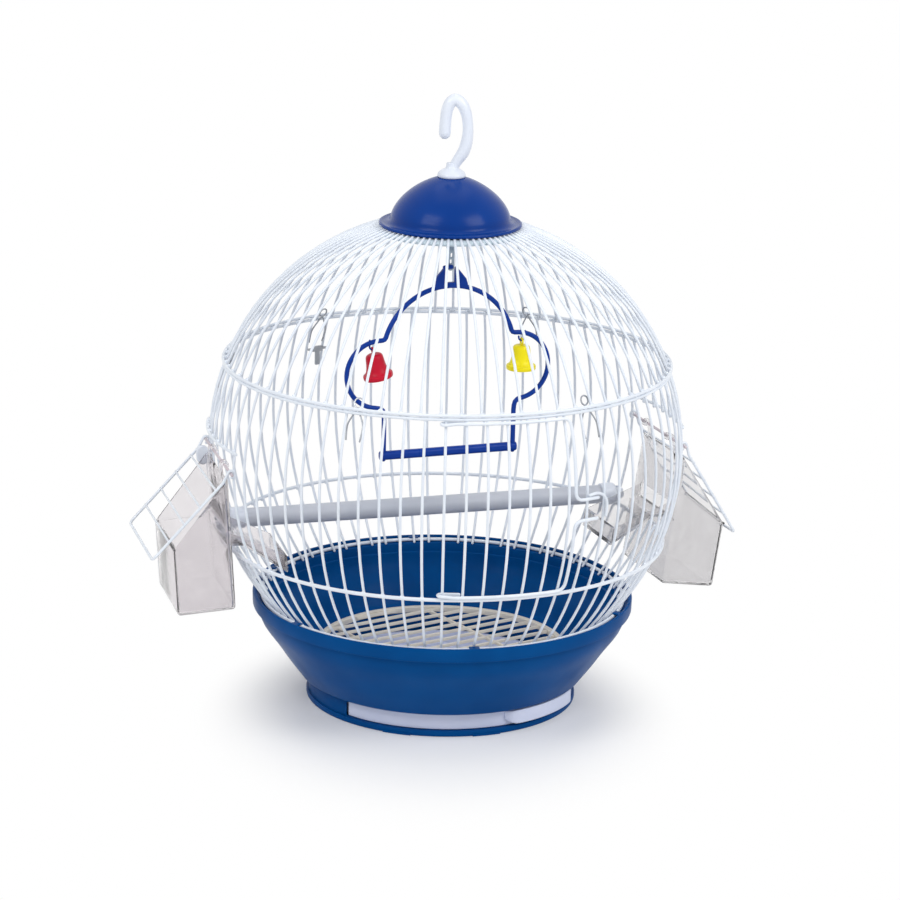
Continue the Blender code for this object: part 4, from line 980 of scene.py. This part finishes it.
def feeder_boss(side):
    """The white moulded catch at the top of a feeder's far side, with a round eye in it."""
    frame = feeder_frame(side) @ Matrix.Translation((3.4, 0.0, 90.4))
    near, far = -FEEDER_W / 2 + 0.4, -FEEDER_W / 2 - 3.4
    outline = arc((0, 2.4), 4.3, 0, 180, 14) + arc((0, -2.4), 4.3, 180, 360, 14)
    body = eased(Skin().prism(outline, far, near, frame), 0.8, 3)
    eye = Skin().prism(arc((-0.4, -1.2), 1.8, 0, 360, 20)[:-1], far - 1.0, far + 2.2, frame)
    body = cut(body, eye)
    pin = Skin().prism(arc((-0.4, -1.2), 1.0, 0, 360, 16)[:-1], far + 0.4, near, frame)
    return joined(body, pin)


def feeder_flap(side):
    frame = side_frame(side["bearing"]) @ Matrix.Translation((RAIL_R, 0, RAIL_Z))
    frame = frame @ Matrix.Rotation(math.radians(side["slope"]), 4, "Y")
    eye = [Vector((x, -FLAP_HALF_W, z)) for x, z in arc((0, 0), 2.4, 310, 60, 16)]
    left = eye + [Vector((8.0, -FLAP_HALF_W, 0.0)), Vector((FLAP_L, -FLAP_HALF_W, 0.0))]
    path = left + [Vector((p.x, -p.y, p.z)) for p in left[::-1]]
    skin = Skin()
    skin.tube(rounded(path, 4.0), 1.0, 12, frame=frame)
    for i in range(4):
        x = FLAP_PITCH * (i + 1) - 0.5
        skin.tube([(x, -FLAP_HALF_W - 0.6, 0.4), (x, FLAP_HALF_W + 0.6, 0.4)], 0.8, 10, frame=frame)
    return skin


def feeder_rail(side):
    ends = [(RAIL_R, y, RAIL_Z) for y in (-RAIL_HALF_L, RAIL_HALF_L)]
    return Skin().tube(ends, 1.0, 12, frame=side_frame(side["bearing"]))


# Perch


def perch_frame():
    radius = wall_radius(PERCH_Z)
    left = polar(radius, PERCH_LEFT, PERCH_Z)
    right = polar(radius, PERCH_RIGHT, PERCH_Z)
    along = right - left
    turn = math.atan2(along.y, along.x)
    return Matrix.Translation(left) @ Matrix.Rotation(turn, 4, "Z"), along.length


def along_x(profile, segments, frame):
    return Skin().lathe(profile, segments, frame @ Matrix.Rotation(math.radians(90.0), 4, "Y"))


def perch_tube():
    frame, length = perch_frame()
    start = 14.6
    end = length - start
    outline = [(5.2, start + 0.3), (5.5, start), (6.2, start), (PERCH_R, start + 0.3)]
    outline += [(PERCH_R, mix(start, end, k / 12)) for k in range(1, 12)]
    outline += [(PERCH_R, end - 0.3), (6.2, end), (5.5, end), (5.2, end - 0.3)]
    return along_x(outline, 48, frame)


def perch_cap(sign):
    frame, length = perch_frame()
    outline = [
        (0, -3.2), (2.6, -3.1), (4.2, -2.5), (5.0, -1.6), (5.3, -0.4), (5.4, 2.4), (6.2, 3.2), (7.3, 3.7),
        (7.8, 4.6), (7.9, 5.6), (7.9, 13.2), (7.7, 14.0), (7.2, 14.3), (4.9, 14.3), (4.9, 22.0),
        (4.3, 22.6), (0, 22.6),
    ]
    low, high = -10.0, 3.95
    if sign > 0:
        outline = [(r, length - x) for r, x in outline]
        low, high = length - high, length - low
    body = along_x(outline, 48, frame)
    slit = eased(Skin().box((low, -2.0, -20.0), (high, 2.0, 20.0), frame), 0.6, 2)
    return cut(body, slit)


# Swing and bells


def swing_axes():
    return Matrix.Rotation(math.radians(SWING_TURN), 4, "Z")


def swing_path(sign):
    """One half of the frame's wire-like outline, from the middle of the arch down to the end of a leg."""
    points = arc((0, ARCH_Z), ARCH_R, 90.0, CORNER_DEG, 20)
    corner = points[-1]
    bulge = arc((BULGE_X, BULGE_Z), BULGE_R, 86.0, -84.0, 28)
    points += [(corner[0] + 0.9, corner[1] - 1.2), (corner[0] + 2.4, corner[1] - 1.7), *bulge]
    end = bulge[-1]
    foot = SWING_PERCH_Z - 2.6
    leg = [
        (LEG_X + 2.6, end[1] - 0.7), (LEG_X + 1.0, end[1] - 2.2), (LEG_X + 0.3, end[1] - 4.6),
        (LEG_X, end[1] - 8.0),
    ]
    made = [Vector((sign * x + SWING_ASIDE, 0.0, z)) for x, z in points]
    return made + [Vector((sign * x + LEGS_ASIDE, 0.0, z)) for x, z in leg + [(LEG_X, foot)]]


def bell_hook(sign):
    """A small hook under the frame: a stub down from it, a bend and a free end on the inner side."""
    middle = link_place(sign)
    path = [(LINK_R, 4.4), (LINK_R, 1.6), *arc((0, 0), LINK_R, 0, -180, 12), (-LINK_R, 0.7)]
    return Skin().tube([middle + Vector((sign * x, 0.0, z)) for x, z in path], LINK_D / 2, 12)


def lug_fin(sign):
    """One of the two fins that the frame hangs by, on either side of the strap."""
    outer = [
        (12.9, 294.6), (12.5, 297.6), (11.4, 300.9), (8.6, 304.3), (6.2, 307.2), (4.9, 308.9), (4.2, 309.4),
    ]
    inner = [(3.5, 308.9), (3.2, 306.8), (3.1, 296.6)]
    half = 1.75
    outline = [(sign * x + SWING_ASIDE, z) for x, z in outer + inner]
    return eased(Skin().prism(outline, -half, half), 0.45, 3)


def swing_frame():
    """The moulded swing: two fins with a peg, an arch, a loop round each bell, two legs and two hooks."""
    left, right = swing_path(-1), swing_path(1)
    made = Skin().tube(split(left[::-1][:-1] + right, 6.0), SWING_R, 16)
    bar = [(-3.6, 294.9), (3.6, 294.9), (3.6, 298.6), (-3.6, 298.6)]
    bar = [(x + SWING_ASIDE, z) for x, z in bar]
    made = joined(made, eased(Skin().prism(bar, -1.75, 1.75), 0.4, 2))
    for sign in (-1, 1):
        made = joined(made, lug_fin(sign))
        made = joined(made, bell_hook(sign))
    peg = [Vector((x, -1.3, PEG_Z)) for x in (-4.2, -2.0, 0.0, 0.9)]
    made = joined(made, Skin().tube(peg, [1.2, 1.5, 1.55, 1.55], 20))
    made.transform(swing_axes())
    return made


def hanger():
    """The strap held by the nut, bent down beside it to a slotted end that takes the swing's peg."""
    route = [
        (-5.0, 333.6), (5.0, 333.6), (6.4, 333.1), (6.9, 331.8), (6.9, 328.6), (6.5, 327.2), (2.4, 321.4),
        (1.9, 320.0),
    ]
    tip = (25, 50, 70, 84)
    route += [(1.9, 312.0), (1.9, 309.0)] + [(1.9, 309.0 - 2.6 * sin_deg(a)) for a in tip]
    halves = [3.6, 3.6, 3.2, 3.0, 2.8] + [2.6] * 5 + [2.6 * cos_deg(a) for a in tip]
    middles = [0.2, 0.2, 0.6, 0.9, 1.2] + [1.35] * 9
    thick = 0.6
    loops = []
    for i, (y, z) in enumerate(route):
        before, after = Vector(route[max(i - 1, 0)]), Vector(route[min(i + 1, len(route) - 1)])
        along = (after - before).normalized()
        out = Vector((-along.y, along.x)) * thick
        x, half = middles[i], halves[i]
        corners = ((-half, 1), (half, 1), (half, -1), (-half, -1))
        loops.append([Vector((x + a, y + b * out.x, z + b * out.y)) for a, b in corners])
    made = Skin().loops(loops)
    for x, z in ((1.9, 317.3), (1.5, 312.9)):
        slot = arc((x, z + 0.8), 0.75, 0, 180, 8) + arc((x, z - 0.8), 0.75, 180, 360, 8)
        made = cut(made, Skin().prism(slot, -1.0, 6.0))
    made.transform(swing_axes())
    return made


def link_place(sign):
    """The middle of the bend that a bell hangs from."""
    return Vector((sign * LINK_X, 0.0, LINK_Z))


def bell_pivot(sign):
    return link_place(sign) - Vector((0, 0, LINK_R - LINK_D - 0.25))


def bell_top(sign):
    """The height of a bell's crown, which its hanging ring is moulded into."""
    return bell_pivot(sign).z - 2 * LINK_R - LINK_D / 2 + 0.5


def swing_perch():
    """The bar at the foot of the swing, with a shallow groove along each side and holes for the legs."""
    frame = swing_axes()
    section = []
    for angle in range(90, 450, 12):
        groove = sum(0.3 * math.exp(-((angle - side) / 9.0) ** 2) for side in (180.0, 360.0))
        section.append(((3.2 - groove) * cos_deg(angle), (3.2 - groove) * sin_deg(angle)))
    loops = []
    for x, size in ((-48.6, 0.88), (-48.3, 0.97), (-47.8, 1.0), (51.8, 1.0), (52.3, 0.97), (52.6, 0.88)):
        loops.append([Vector((x, a * size * 0.94, SWING_PERCH_Z + b * size)) for a, b in section])
    made = Skin().loops(loops)
    for sign in (-1, 1):
        at = sign * LEG_X + LEGS_ASIDE
        ends = [(at, 0, SWING_PERCH_Z - 2.9), (at, 0, SWING_PERCH_Z + 7)]
        made = cut(made, Skin().tube(ends, 1.95, 20, round_ends=False))
    made.transform(frame)
    return made


def bell_lean(sign):
    """The red bell has caught askew on its hook. The yellow one hangs straight."""
    if sign > 0:
        return Matrix.Identity(4)
    bend = link_place(sign) - Vector((0, 0, LINK_R))
    turn = Matrix.Rotation(math.radians(-RED_LEAN), 4, "Y")
    return Matrix.Translation(bend) @ turn @ Matrix.Translation(-bend)


def bell(sign):
    pivot = bell_pivot(sign)
    ring_z = pivot.z - LINK_R
    top = bell_top(sign)
    outside = [
        (0, 0), (2.8, 0.1), (4.4, -0.1), (5.4, -0.7), (6.0, -1.7), (6.3, -3.6), (6.6, -6.6), (7.1, -9.6),
        (7.8, -11.9), (8.6, -13.3), (9.5, -14.0), (10.1, -14.3), (10.4, -14.9), (10.4, -16.8),
        (10.1, -17.4), (9.5, -17.5),
    ]
    inside = [
        (9.2, -17.1), (9.0, -15.6), (8.4, -14.6), (7.4, -13.2), (6.5, -11.0), (5.8, -7.4), (5.2, -4.0),
        (4.2, -2.1), (2.6, -1.6), (0, -1.6),
    ]
    outline = [(radius, top + z) for radius, z in outside + inside]
    made = Skin().lathe(outline, 48, Matrix.Translation((pivot.x, 0, 0)))
    ring = [Vector((pivot.x, y, z)) for y, z in arc((0.0, ring_z), LINK_R, 0, 360, 24)[:-1]]
    made = joined(made, Skin().tube(ring, LINK_D / 2, 10, closed=True))
    made.transform(scaled(swing_axes() @ bell_lean(sign)))
    return made


def clapper(sign):
    pivot = bell_pivot(sign)
    top = bell_top(sign) - CLAPPER_DROP
    frame = swing_axes() @ bell_lean(sign)
    skin = Skin()
    ball = [(0, top - 13.0)] + arc((0, top - 11.0), 2.0, -75, 75, 10) + [(0, top - 9.0)]
    skin.lathe(ball, 20, frame @ Matrix.Translation((pivot.x, 0, 0)))
    skin.tube([(pivot.x, 0, top), (pivot.x, 0, top - 10.0)], 0.55, 8, frame=frame)
    return skin


# Small wire clips


def ring_clip(bearing):
    """A thin wire spring inside the joint's rings: an eye above them and two legs that press outwards."""
    radius = wall_radius(CLIP_Z) - WIRE_R - 0.75
    lean = math.tan(math.radians(latitude(CLIP_Z)))
    leg = [(-5.2, -19.0), (-5.8, -12.0), (-5.2, -8.0), (-2.2, -2.5), (-0.4, 0.4)]
    eye = arc((0.0, 4.4), 3.0, -40, 220, 12)
    flat = leg + eye + [(-x, z) for x, z in leg[::-1]]
    count = len(flat) - 1
    side = Vector((cos_deg(bearing), sin_deg(bearing), 0.0))
    points = []
    for i, (s, z) in enumerate(flat):
        inward = mix(-0.65, 0.65, i / count)
        points.append(polar(radius + inward - lean * z, bearing, CLIP_Z + z) + side * s)
    return Skin().tube(curve_through(points, 5), 0.55, 8)


def build():
    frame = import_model()
    look = looks()
    piece("wire_wall", lower_cage(), "cage", look["wire"], ["lower_cage"])
    piece("wire_dome", upper_dome(), "cage", look["wire"], ["upper_dome"])
    piece("wire_door", door(), "door_panel", look["wire"], ["door"])
    piece("wire_catch", door_catch(), "cage", look["wire"], ["door_catch"])
    piece("bowl", base_bowl(), "cage", look["base"], ["base_bowl"], 30)
    piece("bowl_pads", foot_pads(), "cage", look["base"])
    piece("drawer_tray", tray(), "drawer", look["tray"], ["tray"], 30)
    piece("grille", floor_grille(), "cage", look["cream"], ["floor_grille"])
    piece("dome_cap", cap(), "cage", look["cap"], ["cap"], 50)
    flange, crook, stem = hook()
    piece("hook_flange", flange, "carrying_hook", look["white"], ["hook"], 50)
    piece("hook_crook", crook, "carrying_hook", look["white"])
    piece("hook_stem", stem, "carrying_hook", look["clip"])
    for name, side in FEEDERS.items():
        clear, rail, flap = f"feeder_{name}", f"feeder_rail_{name}", f"feeder_flap_{name}"
        piece(f"clear_{clear}", feeder(side), "cage", look[f"clear_{name}"], [clear], 30)
        piece(f"rail_{name}", feeder_rail(side), "cage", look["rail"], [rail])
        piece(f"flap_wire_{name}", feeder_flap(side), f"flap_{name}", look["wire"], [flap])
    piece("feeder_catch", feeder_boss(FEEDERS["left"]), "cage", look["white"], angle=50)
    piece("perch_bar", perch_tube(), "cage", look["perch"], ["perch_tube"])
    piece("perch_end_left", perch_cap(-1), "cage", look["white"], ["perch_cap_left"])
    piece("perch_end_right", perch_cap(1), "cage", look["white"], ["perch_cap_right"])
    piece("swing_loop", swing_frame(), "swing", look["swing"], ["swing_frame"], 40)
    piece("swing_bar", swing_perch(), "swing", look["swing"], ["swing_perch"])
    for name, sign in (("red", -1), ("yellow", 1)):
        piece(f"{name}_bell_cup", bell(sign), f"bell_{name}", look[name], [f"bell_{name}"])
        bead = f"clapper_{name}"
        piece(f"{name}_bead", clapper(sign), bead, look["steel"], [bead])
    for i in range(6):
        clip = ring_clip(CLIP_START + CLIP_STEP * i)
        piece(f"clip_wire_{i + 1}", clip, "cage", look["clip"], [f"ring_clip_{i + 1}"])
    piece("crown_disc", crown_collar(), "cage", look["pale"], ["crown_plate"])
    piece("swing_strap", hanger(), "cage", look["strap"], ["swing_hanger"])
    for name, kind in (("hook_nut", "white"), ("treat_clip", "clip")):
        obj = frame["nodes"][name]
        obj.data.materials.clear()
        obj.data.materials.append(look[kind])
    stage()
    camera()


# Floor, light and camera


def maths(tree, operation, one, two):
    made = node(tree, "ShaderNodeMath", operation=operation)
    tree.links.new(one, made.inputs[0])
    tree.links.new(two, made.inputs[1])
    return made.outputs["Value"]


def mixed(tree, factor, one, two):
    """The first shader where the factor is 0, the second where it is 1."""
    made = node(tree, "ShaderNodeMixShader")
    for i, source in enumerate((factor, one, two)):
        tree.links.new(source, made.inputs[i])
    return made.outputs["Shader"]


def seen_ray(tree):
    """1 on rays from the camera, through plastic or off a shiny face, and 0 on the object's own light."""
    path = node(tree, "ShaderNodeLightPath")
    shiny = maths(tree, "MAXIMUM", path.outputs["Is Glossy Ray"], path.outputs["Is Transmission Ray"])
    return maths(tree, "MAXIMUM", path.outputs["Is Camera Ray"], shiny)


def backdrop_material():
    """A pale floor that takes the object's shadow near it and is plain white farther out."""
    made, tree, shader = new_look("pale_floor")
    mottle = noise(tree, 4.0, 3.0)
    pale = tint(tree, mottle, (0.955, 0.955, 0.96), (0.965, 0.965, 0.97))
    tree.links.new(pale, shader.inputs["Base Color"])
    settle(shader, {"Roughness": 0.9, "Specular IOR Level": 0.0})
    coords = node(tree, "ShaderNodeTexCoord")
    place = {"Location": (-0.013, -0.05, 0.0), "Rotation": (0.0, 0.0, math.radians(SHADOW_TURN))}
    oval = node(tree, "ShaderNodeMapping", {**place, "Scale": (1.0, 1.3, 1.0)}, vector_type="TEXTURE")
    tree.links.new(coords.outputs["Object"], oval.inputs["Vector"])
    away = node(tree, "ShaderNodeVectorMath", operation="LENGTH")
    tree.links.new(oval.outputs["Vector"], away.inputs[0])
    ease = {"From Min": 0.09, "From Max": 0.175, "To Min": 0.12, "To Max": 1.0}
    share = node(tree, "ShaderNodeMapRange", ease, interpolation_type="SMOOTHSTEP")
    tree.links.new(away.outputs["Value"], share.inputs["Value"])
    factor = maths(tree, "MULTIPLY", seen_ray(tree), share.outputs["Result"])
    white = node(tree, "ShaderNodeEmission", {"Color": WHITE, "Strength": 1.0})
    both = mixed(tree, factor, shader.outputs["BSDF"], white.outputs["Emission"])
    tree.links.new(both, tree.nodes["Material Output"].inputs["Surface"])
    return made


def stage():
    far = 9000.0
    corners = [Vector((x, y, 0.0)) for x, y in ((-far, -far), (far, -far), (far, far), (-far, far))]
    mesh = Skin().add(corners, [(0, 1, 2, 3)]).mesh("floor")
    mesh.materials.append(backdrop_material())
    obj = placed("floor", mesh)
    scene = bpy.context.scene
    scene.view_settings.view_transform = "Standard"
    world = bpy.data.worlds.new("soft_box")
    world.use_nodes = True
    tree = world.node_tree
    ground = tree.nodes["Background"]
    settle(ground, {"Color": WHITE, "Strength": 0.5})
    seen = node(tree, "ShaderNodeBackground", {"Color": WHITE, "Strength": 1.0})
    both = mixed(tree, seen_ray(tree), ground.outputs["Background"], seen.outputs["Background"])
    tree.links.new(both, tree.nodes["World Output"].inputs["Surface"])
    scene.world = world
    lamp("left_box", (-0.79, -0.5, 0.95), 0.6, 4.8)
    lamp("right_box", (0.62, -0.79, 0.95), 0.6, 6.2)
    lamp("top_box", (0.1, 0.3, 1.4), 0.8, 1.6)


def lamp(name, place, size, power):
    data = bpy.data.lights.new(name, "AREA")
    data.shape = "RECTANGLE"
    data.size = size
    data.size_y = size
    data.energy = power
    obj = placed(name, data)
    obj.location = place
    obj.rotation_euler = (LAMP_AIM - Vector(place)).to_track_quat("-Z", "Y").to_euler()


def camera():
    away = Vector((-sin_deg(CAMERA_TURN), cos_deg(CAMERA_TURN), 0.0))
    aim = Vector((0.0, 0.0, 0.2))
    up = Vector((0.0, 0.0, CAMERA_AWAY_M * sin_deg(CAMERA_RISE)))
    place = aim - away * CAMERA_AWAY_M * cos_deg(CAMERA_RISE) + up
    data = bpy.data.cameras.new("camera")
    data.sensor_width = 36.0
    data.lens = FOCAL_PX / IMAGE_PX * data.sensor_width
    data.shift_x = 3.9 / IMAGE_PX
    data.shift_y = -30.0 / IMAGE_PX
    obj = placed("camera", data)
    look = (aim - place).to_track_quat("-Z", "Y").to_matrix().to_4x4()
    obj.matrix_world = Matrix.Translation(place) @ look @ Matrix.Rotation(math.radians(CAMERA_ROLL), 4, "Z")
    bpy.context.scene.camera = obj


build()
